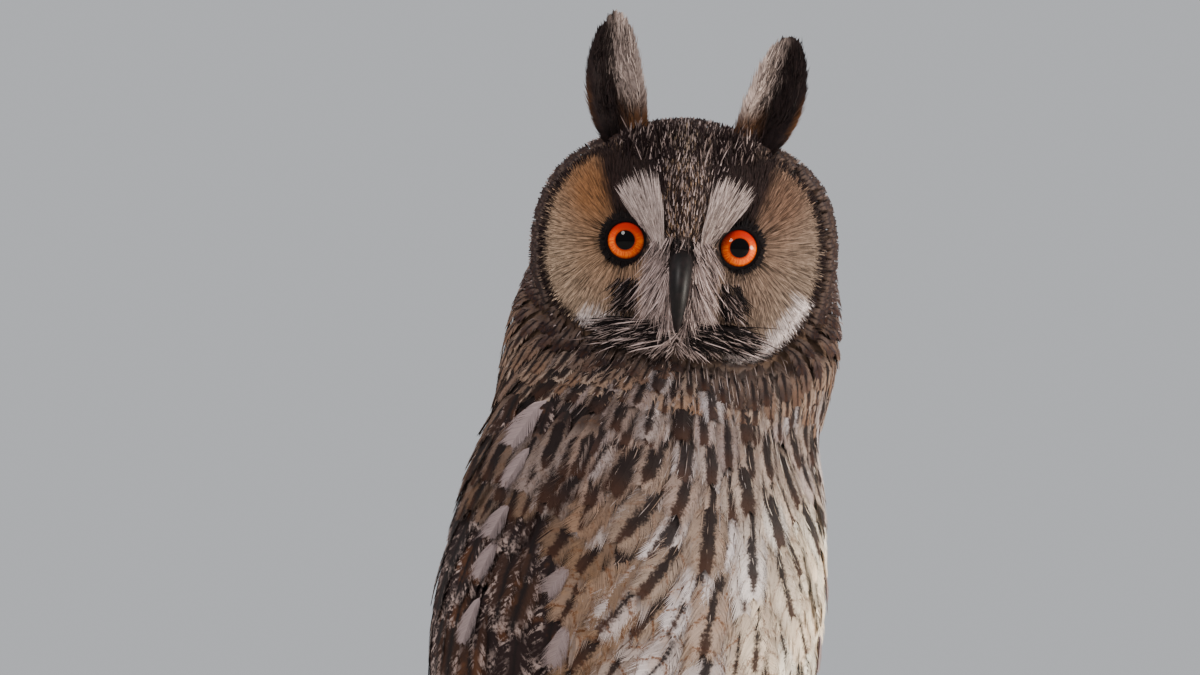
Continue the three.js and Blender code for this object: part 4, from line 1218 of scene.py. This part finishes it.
def coat_depth(points):
    # How far the skin lies under the feathers' tips, in millimetres
    b = seen_from(points, BODY)
    h = seen_from(points, HEAD)
    face = smooth(1.05, 0.9, face_share(h)) * smooth(0, 5, h[:, 1])
    neck = smooth(-30, -45, h[:, 2])
    deep = 1.8 * (1 - neck) + 3.6 * neck
    legs = smooth(150, 136, b[:, 2])
    return (deep * (1 - face) + 0.7 * face) * (1 - legs) + 1.2 * legs


def skin_tint(points):
    h = seen_from(points, HEAD)
    luck = np.random.default_rng(SKIN_SEED).uniform(0, 1, len(points))
    head = np.where(is_face(h)[:, None], face_tint(h, 0.5 + 0 * luck), colour(84, 66, 54))
    body = breast_tint(seen_from(points, BODY), luck, luck) * 0.55
    return mix(body, head, smooth(-40, -34, h[:, 2]))


def make_skin(guide, material):
    points, normals, triangles = arrays_of(guide.data)
    skin = mesh_object("skin", points - normals * (coat_depth(points) * MM)[:, None], triangles)
    paint(skin, "tint", skin_tint(points))
    uv = unwrap(points, BODY)[triangles]
    wraps = (uv[..., 0].max(axis=1) - uv[..., 0].min(axis=1) > 0.5)[:, None]
    uv[..., 0] = np.where(wraps & (uv[..., 0] < 0.5), 1.0, uv[..., 0])
    set_bake(skin, uv)
    return finish_piece(skin, material, "plumage", *FLESH)


# Round pieces

def circle(sides):
    return np.linspace(0, FULL_TURN, sides, endpoint=False)


def ring_grid(rings, closed_ends=True):
    # Points of rings joined into quads, with a fan at each end
    rings = np.asarray(rings)
    count, sides = rings.shape[:2]
    k = np.arange(count - 1)[:, None]
    j = np.arange(sides)[None, :]
    a = k * sides + j
    b = k * sides + (j + 1) % sides
    faces = vectors(a, b, b + sides, a, b + sides, a + sides).reshape(-1, 3)
    points = rings.reshape(-1, 3)
    if closed_ends:
        points = np.concatenate([points, rings[0].mean(axis=0)[None], rings[-1].mean(axis=0)[None]])
        first = count * sides
        ends = [[first, (s + 1) % sides, s] for s in range(sides)]
        ends += [[first + 1, first - sides + s, first - sides + (s + 1) % sides] for s in range(sides)]
        faces = np.concatenate([faces, np.array(ends)])
    return points, faces


def ringed_piece(name, rings, matrix, material, slot, *nodes, closed_ends=True):
    points, faces = ring_grid(rings, closed_ends)
    return finish_piece(mesh_object(name, placed(points, matrix), faces), material, slot, *nodes)


def tube_rings(centres, radii, sides):
    along_it = unit(np.gradient(centres, axis=0))
    aside = np.array([1.0, 0, 0])
    u = unit(aside - along_it * (along_it @ aside)[:, None])
    v = np.cross(along_it, u)
    turn = circle(sides)[None, :, None]
    ring = u[:, None] * np.cos(turn) + v[:, None] * np.sin(turn)
    return centres[:, None] + ring * np.asarray(radii)[:, None, None]


def bill_piece(name, sections, material, node):
    rows = [(i, *row) for i, row in enumerate(sections)]
    y, z, half, thick = along_table(rows, np.linspace(0, len(rows) - 1, 40)).T
    centres = vectors(0, y, z)
    aside = np.array([1.0, 0, 0])
    over = np.cross(aside, unit(np.gradient(centres, axis=0)))
    turn = circle(28)[None, :, None]
    wide = (half + BILL_SWELL)[:, None, None] * np.cos(turn) * aside
    tall = (thick + BILL_SWELL)[:, None, None] * np.sin(turn) * over[:, None]
    return ringed_piece(name, centres[:, None] + wide + tall, HEAD, material, "horn", node)


def eye_matrix(side):
    outward = Matrix.Rotation(-side * EYE_OUTWARD, 4, "Z")
    return HEAD @ Matrix.Translation((side * EYE_SIDE, EYE_Y, 0)) @ outward


def eye_piece(word, side, material):
    # The front of the eyeball, with its place on the iris kept at each point
    slope = np.linspace(0.002, math.radians(74), 44)[:, None]
    turn = circle(72)[None, :]
    r = EYE_RADIUS * np.sin(slope)
    dome = EYE_RADIUS * np.cos(slope) + 0.35 * bell(r, 4.5) - 0.35
    points, faces = ring_grid(vectors(r * np.cos(turn), dome, r * np.sin(turn)))
    piece = mesh_object("eyeball_" + word, placed(points, eye_matrix(side)), faces)
    x, z = points[:, 0], points[:, 2]
    radius = np.hypot(x, z)
    paint(piece, "place", vectors(radius, x / np.maximum(radius, 1e-6), z))
    paint(piece, "mark", vectors(x, z, 0))
    return finish_piece(piece, material, "eye", "eye_" + word)


def lid_piece(word, side, material):
    # A black rim round the eye, a little thicker above, where it also overhangs the ball
    turn = np.append(circle(72), 0)[:, None]
    profile = circle(14)[None, :]
    high = 0.5 + 0.5 * np.sin(turn)
    middle = LID_MIDDLE - 0.25 * high
    r = middle + 0.85 * np.cos(profile) - 0.1
    y = np.sqrt(EYE_RADIUS ** 2 - middle ** 2) + 0.35 + (0.5 + 0.25 * high) * np.sin(profile)
    rings = vectors(r * np.cos(turn), y, r * np.sin(turn))
    return ringed_piece("lids_" + word, rings, eye_matrix(side), material, "horn", closed_ends=False)


# Feet

def round_perch(across, degrees, above):
    # Places at some height above the bark, by degrees round the branch
    reach = PERCH_RADIUS + above
    turn = np.radians(degrees)
    return vectors(across, reach * np.sin(turn), PERCH_HEIGHT + reach * np.cos(turn))


def foot_mesh(side):
    s = TOE_STEPS
    share = 0.12 + 0.88 * s
    radii = TOE_RADIUS - 0.9 * s + 0.3 * np.cos(5 * math.pi * s) * (0.4 + 0.6 * s)
    blunt = np.where((s == 0) | (s == 1), 0.75, 1)
    shapes = []
    for start, splay, end in TOES:
        across = side * (LEG_SIDE + start + splay * smooth(0, 1, share))
        centres = round_perch(across, end * share, radii + 0.5)
        shapes.append(ring_grid(tube_rings(centres, radii * blunt, 18)))
    ankle = np.array([[side * LEG_SIDE, 0, height] for height, _ in ANKLE_RINGS])
    shapes.append(ring_grid(tube_rings(ankle, [radius for _, radius in ANKLE_RINGS], 24)))
    bm = bmesh.new()
    for points, faces in shapes:
        verts = [bm.verts.new(p) for p in placed(points, BODY)]
        for face in faces:
            bm.faces.new([verts[i] for i in face])
    return remeshed(object_of(bm, "foot"), FOOT_VOXEL, 4)


def toe_lie(side):
    def lie(points):
        out = seen_from(points, BODY) - np.array([side * LEG_SIDE, 0, ANKLE_HEIGHT + 14])
        out[:, 0] *= 0.35
        return turned(unit(out), BODY)
    return lie


def toe_spacing(points):
    return np.where(seen_from(points, BODY)[:, 2] > 96, 0.62, 0)


def foot_pieces(word, side, skin_material, coat_material, rng):
    foot = foot_mesh(side)
    foot.name = "foot_skin_" + word
    surface = Surface(foot.data)
    paint(foot, "tint", np.tile(TOE_BUFF * 0.6, (len(foot.data.vertices), 1)))
    foot.data.polygons.foreach_set("use_smooth", np.full(len(foot.data.polygons), True))
    finish_piece(foot, skin_material, "toe", "foot_" + word)
    coat = Coat(BODY, rng)
    roots = surface.scatter(toe_spacing, rng, 26000)
    path, normal = surface.march(roots, toe_lie(side), rng.uniform(2.6, 4.2, len(roots)), 4)
    tint = TOE_BUFF * rng.uniform(0.7, 1.15, (len(roots), 1))
    filaments(coat, path, normal, 0.55, tint * 0.8, tint * 1.1, depth=0.2, lift=0.35)
    coat.make("toe_feathers_" + word, coat_material, "toe")


def leg_spacing(points):
    b = seen_from(points, BODY)
    near = np.hypot(np.abs(b[:, 0]) - LEG_SIDE, b[:, 1]) < 17
    return np.where((b[:, 2] < 156) & near, 2.0, 0)


def leg_coat(surface, rng):
    coat = Coat(BODY, rng)
    roots = surface.scatter(leg_spacing, rng, 60000)
    n = len(roots)
    path, normal = surface.march(roots, coat_lie, rng.uniform(8, 11, n), 6)
    tint = TOE_BUFF * rng.uniform(0.75, 1.15, (n, 1))
    barbed(coat, path, normal, 4.2, tint, np.tile([0.0, 0.0, 0.1], (n, 1)), pairs=10, depth=1, lift=0.3,
           fray=0.2)
    return coat


def claw_piece(word, side, index, material):
    start, splay, end = TOES[index]
    t = TOE_STEPS
    radii = CLAW_RADIUS * (1 - t) ** 0.75 + 0.2
    turn = end + math.copysign(2.2, end) + math.copysign(CLAW_TURN, end) * t
    across = side * (LEG_SIDE + start + splay * (1 + 0.1 * t))
    centres = round_perch(across, turn, radii + 0.6 + 2.4 * np.sin(t * math.pi))
    rings = tube_rings(centres, radii, 20)
    name = f"{word}_{index + 1}"
    return ringed_piece("talon_" + name, rings, BODY, material, "horn", "claw_" + name)


# Perch and stand

def bark_height(x, turn):
    around = Vector((x / 9, math.cos(turn) * 1.6, math.sin(turn) * 1.6))
    lumps = 0.45 * noise.fractal(around, 0.8, 2.1, 4)
    rings = 0.22 * max(0.0, math.sin(x * 0.55 + 1.3 * noise.noise(around * 1.7))) ** 6
    return lumps + rings


def perch_piece(material):
    x = np.linspace(-PERCH_HALF_LENGTH, PERCH_HALF_LENGTH, 261)[:, None]
    turn = circle(110)[None, :]
    ripple = 0.35 * np.sin(3 * turn + x / 9) + 0.25 * np.sin(5 * turn - x / 6)
    off = np.arctan2(np.sin(turn - 1.9), np.cos(turn - 1.9))
    knot = 3.2 * bell(x - 52, 7) * bell(off, 0.6)
    bark = np.array([[bark_height(a, b) for b in turn[0].tolist()] for a in x[:, 0].tolist()])
    reach = PERCH_RADIUS - 0.75 + ripple + knot + bark
    rings = vectors(x, reach * np.cos(turn), PERCH_HEIGHT + reach * np.sin(turn))
    return ringed_piece("perch_bark", rings, BODY, material, "bark", "perch_branch")


def base_piece(material):
    r = BASE_RADIUS
    h = BASE_HEIGHT
    e = BASE_EDGE
    bend = np.linspace(0.2, math.pi / 2, 8)
    profile = [(r - 1, 0), (r - 0.2, 0.3), (r, 1), (r, h - e)]
    profile += [(r - e + e * math.cos(a), h - e + e * math.sin(a)) for a in bend]
    profile += [(r - e - k * 9, h) for k in range(1, 10)]
    radius, height = np.array(profile).T[:, :, None]
    turn = circle(160)[None, :]
    rings = vectors(radius * np.cos(turn), radius * np.sin(turn), height)
    return ringed_piece("base_disc", rings, WORLD, material, "base", "stand_base")


# Materials

class Wire:
    # What a node gives, with arithmetic that adds further nodes
    def __init__(self, tree, socket):
        self.tree = tree
        self.socket = socket

    def __add__(self, other):
        return self.tree.math("ADD", self, other)

    def __sub__(self, other):
        return self.tree.math("SUBTRACT", self, other)

    def __mul__(self, other):
        return self.tree.math("MULTIPLY", self, other)

    def __abs__(self):
        return self.tree.math("ABSOLUTE", self)

    def ease(self, start, end):
        # 0 at start, 1 at end
        node = self.tree.node("MapRange", Value=self, From_Min=start, From_Max=end)
        node.interpolation_type = "SMOOTHSTEP"
        return Wire(self.tree, node.outputs["Result"])


class Tree:
    # Short names for the nodes of one material
    def __init__(self, name, **settings):
        self.material = bpy.data.materials.new(name)
        self.material.use_nodes = True
        self.nodes = self.material.node_tree.nodes
        self.links = self.material.node_tree.links
        self.shader = self.nodes["Principled BSDF"]
        for key, value in settings.items():
            self.shader.inputs[key.replace("_", " ")].default_value = value

    @property
    def tint(self):
        return self.attribute("tint", "Color")

    def put(self, socket, value):
        if isinstance(value, Wire):
            self.links.new(value.socket, socket)
        elif isinstance(value, np.ndarray):
            socket.default_value = (*value.tolist(), 1.0)
        else:
            socket.default_value = value

    def node(self, kind, **values):
        node = self.nodes.new("ShaderNode" + kind)
        for key, value in values.items():
            self.put(node.inputs[key.replace("_", " ")], value)
        return node

    def attribute(self, name, output="Vector"):
        node = self.node("Attribute")
        node.attribute_name = name
        return Wire(self, node.outputs[output])

    def numbers(self, name):
        return self.split(self.attribute(name))

    def split(self, vector):
        node = self.node("SeparateXYZ", Vector=vector)
        return [Wire(self, output) for output in node.outputs]

    def join(self, x, y, z):
        return Wire(self, self.node("CombineXYZ", X=x, Y=y, Z=z).outputs[0])

    def math(self, operation, a, b=0.0):
        node = self.node("Math")
        node.operation = operation
        self.put(node.inputs[0], a)
        self.put(node.inputs[1], b)
        return Wire(self, node.outputs[0])

    def blend(self, share, a, b):
        node = self.node("Mix")
        node.data_type = "RGBA"
        for index, value in ((0, share), (6, a), (7, b)):
            self.put(node.inputs[index], value)
        return Wire(self, node.outputs[2])

    def noise(self, vector, scale, detail=3.0, rough=0.55):
        node = self.node("TexNoise", Vector=vector, Scale=scale, Detail=detail, Roughness=rough)
        return Wire(self, node.outputs["Fac"])

    def place(self):
        return Wire(self, self.node("TexCoord").outputs["Object"])

    def bump(self, height, strength, distance):
        node = self.node("Bump", Strength=strength, Distance=distance, Height=height)
        self.links.new(node.outputs["Normal"], self.shader.inputs["Normal"])

    def colour(self, value):
        self.put(self.shader.inputs["Base Color"], value)
        return self.material


def soft_material():
    # Fine feathers whose colour is painted on, with a little variation
    t = Tree("fine_feathers", Roughness=0.8, Specular_IOR_Level=0.12, Sheen_Weight=0.03)
    darker = t.blend(0.35, t.tint, colour(46, 32, 28))
    return t.colour(t.blend(t.noise(t.place(), 900).ease(0.3, 0.8), t.tint, darker))


def plumage_material():
    # Contour feathers: a dark streak down the shaft, thin ochre bars between pale spots, and mottling, over
    # a painted shade that darkens each feather towards its base
    t = Tree("body_feathers", Roughness=0.8, Specular_IOR_Level=0.12, Sheen_Weight=0.04)
    across, along_it, luck = t.numbers("place")
    streak, bars, mottle = t.numbers("mark")
    fine = t.noise(t.place(), 1300)
    broad = t.noise(t.place(), 260)
    s = abs(across)
    barb = t.noise(t.join(along_it * 46, s * -8, luck * 60), 1.0, 2)
    edge = s + (broad - 0.5) * 0.5 + (fine - 0.5) * 0.15 + (barb - 0.5) * 0.42
    begins = (along_it - (luck * 0.3 + 0.05)).ease(0.0, 0.2)
    width = streak * (begins * (along_it - (luck * 0.5 + 0.75)).ease(0.25, 0.0))
    inside = (edge - width).ease(0.15, -0.12) * width.ease(0.01, 0.06)
    arc = along_it * 4.2 + luck + s * s * -0.7 + (broad - 0.5) * 0.5
    phase = abs(t.math("FRACT", arc) - 0.5)
    bar = phase.ease(0.13, 0.02) * bars * fine.ease(0.34, 0.56)
    speckle = phase.ease(0.3, 0.08) * bars * fine.ease(0.56, 0.66) * 0.8
    # Painted shade: each feather greyer and darker towards its base, darkest where the tips above overlap
    # it
    base_shade = t.blend(along_it.ease(0.85, 0.5) * 0.5, t.tint, colour(100, 84, 76))
    gap_shade = t.blend(along_it.ease(0.45, 0.15), base_shade, colour(58, 46, 42))
    warm = t.blend(broad.ease(0.5, 0.72) * bars * 0.3, gap_shade, colour(142, 104, 68))
    barred = t.blend(t.math("MAXIMUM", bar, speckle), warm, colour(92, 56, 30))
    mottled = t.blend(fine.ease(0.54, 0.66) * mottle, barred, colour(60, 42, 32))
    dark = t.blend(along_it.ease(0.7, 1.0), colour(20, 12, 13), colour(46, 26, 18))
    return t.colour(t.blend(inside * 0.96, mottled, dark))


def wing_material():
    # Dark feathers with short wavy pale lines across them
    t = Tree("wing_feathers", Roughness=0.72, Specular_IOR_Level=0.15, Sheen_Weight=0.03)
    across, along_it, luck = t.numbers("place")
    streak, marble, _ = t.numbers("mark")
    s = abs(across)
    lines = t.noise(t.join(across * 2.0, along_it * 17 + s * -3.0, luck * 40), 1.0, 4, 0.68)
    fine = t.noise(t.place(), 900, 3, 0.6)
    broad = t.noise(t.place(), 95)
    warm = t.blend(broad.ease(0.56, 0.68) * marble * 0.6, t.tint, colour(92, 56, 32))
    wavy = (lines * 0.7 + fine * 0.3).ease(0.51, 0.57)
    pale = wavy * marble * s.ease(streak, streak + 0.3) * broad.ease(0.3, 0.6)
    tips = along_it.ease(luck * -0.2 + 0.95, 1.0) * fine.ease(0.4, 0.6) * marble * 0.9
    marbled = t.blend(t.math("MAXIMUM", pale, tips), warm, colour(158, 138, 132))
    shaft = (s + (fine - 0.5) * 0.3).ease(streak, 0.0) * marble.ease(0.0, 0.3)
    return t.colour(t.blend(shaft, marbled, colour(20, 12, 12)))


def flight_material():
    # Wing and tail quills: broad dark bars, marbled between them
    t = Tree("flight_feathers", Roughness=0.6, Specular_IOR_Level=0.35)
    across, along_it, luck = t.numbers("place")
    fine = t.noise(t.place(), 700, 4, 0.65)
    broad = t.noise(t.place(), 160, 2)
    phase = abs(t.math("FRACT", along_it * 7.0 + luck * 0.6) - 0.5) + (broad - 0.5) * 0.3
    dark = t.blend(phase.ease(0.26, 0.16), t.tint, colour(44, 33, 30))
    barbs = t.noise(t.join(across * 2.0, along_it * 160 + abs(across) * -14.0, luck), 1.0, 2)
    t.bump(barbs, 0.5, 0.0002)
    return t.colour(t.blend(fine.ease(0.5, 0.64) * 0.7, dark, colour(150, 128, 106)))


def skin_material():
    t = Tree("skin", Roughness=0.9, Specular_IOR_Level=0.15)
    n = t.noise(t.place(), 500)
    t.bump(n, 0.4, 0.0003)
    return t.colour(t.blend(n.ease(0.35, 0.75), t.tint, colour(70, 54, 46)))


def eye_material():
    # Orange iris with fine fibres, redder and darker above as a painted shade under the lid, a black pupil
    # and a dark edge
    t = Tree("iris", Roughness=0.4, Specular_IOR_Level=0.0, Coat_Weight=0.4, Coat_Roughness=0.03,
             Coat_IOR=1.34)
    radius, _, _ = t.numbers("place")
    x, z, _ = t.numbers("mark")
    turn = t.math("ARCTAN2", z, x)
    round_it = t.join(t.math("COSINE", turn) * 9.0, t.math("SINE", turn) * 9.0, radius * 0.35)
    fibre = t.noise(round_it, 1.6, 4, 0.6)
    orange = t.blend(fibre.ease(0.35, 0.7), colour(206, 58, 0), colour(244, 118, 2))
    # Painted shade: darker red towards the top, under the lid
    shaded_above = t.blend((z + radius * 0.25).ease(0.5, 5.2), orange, colour(166, 26, 0))
    ringed = t.blend(radius.ease(IRIS_RADIUS - 1.0, IRIS_RADIUS + 0.15), shaded_above, colour(60, 12, 6))
    near_pupil = t.blend(radius.ease(PUPIL_RADIUS + 0.9, PUPIL_RADIUS), ringed, colour(150, 40, 6))
    inside = (radius + (fibre - 0.5) * 0.12).ease(PUPIL_RADIUS + 0.08, PUPIL_RADIUS - 0.08)
    return t.colour(t.blend(inside, near_pupil, colour(4, 3, 4)))


def horn_material():
    t = Tree("horn", Roughness=0.5, Specular_IOR_Level=0.2, Coat_Weight=0.02, Coat_Roughness=0.3)
    t.bump(t.noise(t.place(), 1500), 0.25, 0.0001)
    n = t.noise(t.place(), 420, 4)
    return t.colour(t.blend(n.ease(0.4, 0.7), colour(10, 6, 6), colour(26, 18, 18)))


def two_toned(name, first, second, scale, detail, strength, distance, **settings):
    # Two colours mixed by noise, which also raises the surface
    t = Tree(name, **settings)
    n = t.noise(t.place(), scale, detail)
    t.bump(n, strength, distance)
    return t.colour(t.blend(n, first, second))


def lid_material():
    return two_toned("lid", colour(5, 4, 5), colour(16, 10, 12), 1600, 3, 0.5, 0.0002, Roughness=0.75,
                     Specular_IOR_Level=0.08)


def rod_material():
    return two_toned("rod_steel", colour(170, 170, 172), colour(196, 196, 198), 900, 2, 0.05, 0.0001,
                     Roughness=0.28, Metallic=1.0)


def bark_material():
    t = Tree("bark", Roughness=0.88, Specular_IOR_Level=0.2)
    broad = t.noise(t.place(), 60, 5, 0.6)
    fine = t.noise(t.place(), 420, 5, 0.65)
    t.bump(fine, 0.6, 0.0006)
    grey = t.blend(broad.ease(0.38, 0.62), colour(168, 158, 146), colour(120, 106, 94))
    return t.colour(t.blend(fine.ease(0.52, 0.68) * 0.7, grey, colour(58, 46, 40)))


def base_material():
    t = Tree("base_wood", Roughness=0.42, Specular_IOR_Level=0.5, Coat_Weight=0.25, Coat_Roughness=0.25)
    x, y, z = t.split(t.place())
    grain = t.noise(t.join(x * 4.0, y * 60.0, z), 5.0, 5, 0.6)
    t.bump(grain, 0.15, 0.0003)
    return t.colour(t.blend(grain.ease(0.35, 0.65), colour(52, 36, 28), colour(84, 58, 42)))


def floor_material():
    t = Tree("floor", Roughness=0.8)
    return t.colour(t.blend(t.noise(t.place(), 30), colour(214, 210, 204), colour(222, 218, 212)))


# Camera, floor and light

def aimed(thing, place, target):
    thing.location = place
    thing.rotation_euler = (Vector(target) - Vector(place)).to_track_quat("-Z", "Y").to_euler()


def camera():
    data = bpy.data.cameras.new("camera")
    data.lens = CAMERA_LENS
    data.sensor_width = 36
    data.clip_end = 20
    piece = linked("camera", data)
    back = Vector((0, -math.cos(CAMERA_BELOW), -math.sin(CAMERA_BELOW)))
    aimed(piece, CAMERA_AIM + back * CAMERA_AWAY, CAMERA_AIM)
    bpy.context.scene.camera = piece


def studio():
    world = bpy.data.worlds.new("studio")
    bpy.context.scene.world = world
    world.use_nodes = True
    background = world.node_tree.nodes["Background"]
    background.inputs["Color"].default_value = SKY
    background.inputs["Strength"].default_value = SKY_STRENGTH
    for name, place, size, power, tint in LIGHTS:
        data = bpy.data.lights.new(name, "AREA")
        data.shape = "DISK"
        data.size = size
        data.energy = power
        data.color = tint
        aimed(linked(name, data), place, LIGHT_AIM)
    r = FLOOR_REACH
    floor = mesh_object("floor", [(-r, -r, 0), (r, -r, 0), (r, r, 0), (-r, r, 0)], [[0, 1, 2, 3]])
    floor.data.materials.append(floor_material())


# The owl

def whole_body(rng, m):
    guide = remeshed(joined_copy("guide", FLESH), GUIDE_VOXEL, 6)
    surface = Surface(guide.data)
    make_skin(guide, m["bare"])
    bpy.data.objects.remove(guide)
    face_coat(surface, rng).make("face_feathers", m["fine"], "face")
    head_coat(surface, rng).make("head_feathers", m["plumage"], "face")
    body_coat(surface, rng).make("body_feathers", m["plumage"], "plumage")
    leg_coat(surface, rng).make("leg_feathers", m["plumage"], "toe")
    tail_coat(rng).make("tail_feathers", m["quills"], "wing", "tail")


def one_side(word, side, rng, m):
    wing_flight(side, rng).make("flight_feathers_" + word, m["quills"], "wing", "wing_" + word)
    wing_coverts(side, rng).make("wing_coverts_" + word, m["marbled"], "wing")
    flank_feathers(side, rng).make("flank_feathers_" + word, m["plumage"], "plumage")
    tuft_coat(side, rng).make("tuft_feathers_" + word, m["fine"], "tuft", "ear_tuft_" + word)
    eye_piece(word, side, m["eye"])
    lid_piece(word, side, m["lid"])
    foot_pieces(word, side, m["bare"], m["fine"], rng)
    for index in range(len(TOES)):
        claw_piece(word, side, index, m["horn"])
    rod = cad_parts["stand_rod_" + word]
    rod.data.materials.clear()
    rod.data.materials.append(m["steel"])


def main():
    camera()
    studio()
    rng = np.random.default_rng(COAT_SEED)
    m = {
        "fine": soft_material(),
        "plumage": plumage_material(),
        "marbled": wing_material(),
        "quills": flight_material(),
        "bare": skin_material(),
        "horn": horn_material(),
        "lid": lid_material(),
        "eye": eye_material(),
        "steel": rod_material(),
    }
    whole_body(rng, m)
    for word, side in SIDES:
        one_side(word, side, rng, m)
    bill_piece("bill_hook", BILL_UPPER, m["horn"], "bill_upper")
    bill_piece("bill_under", BILL_LOWER, m["horn"], "bill_lower")
    perch_piece(bark_material())
    base_piece(base_material())


main()
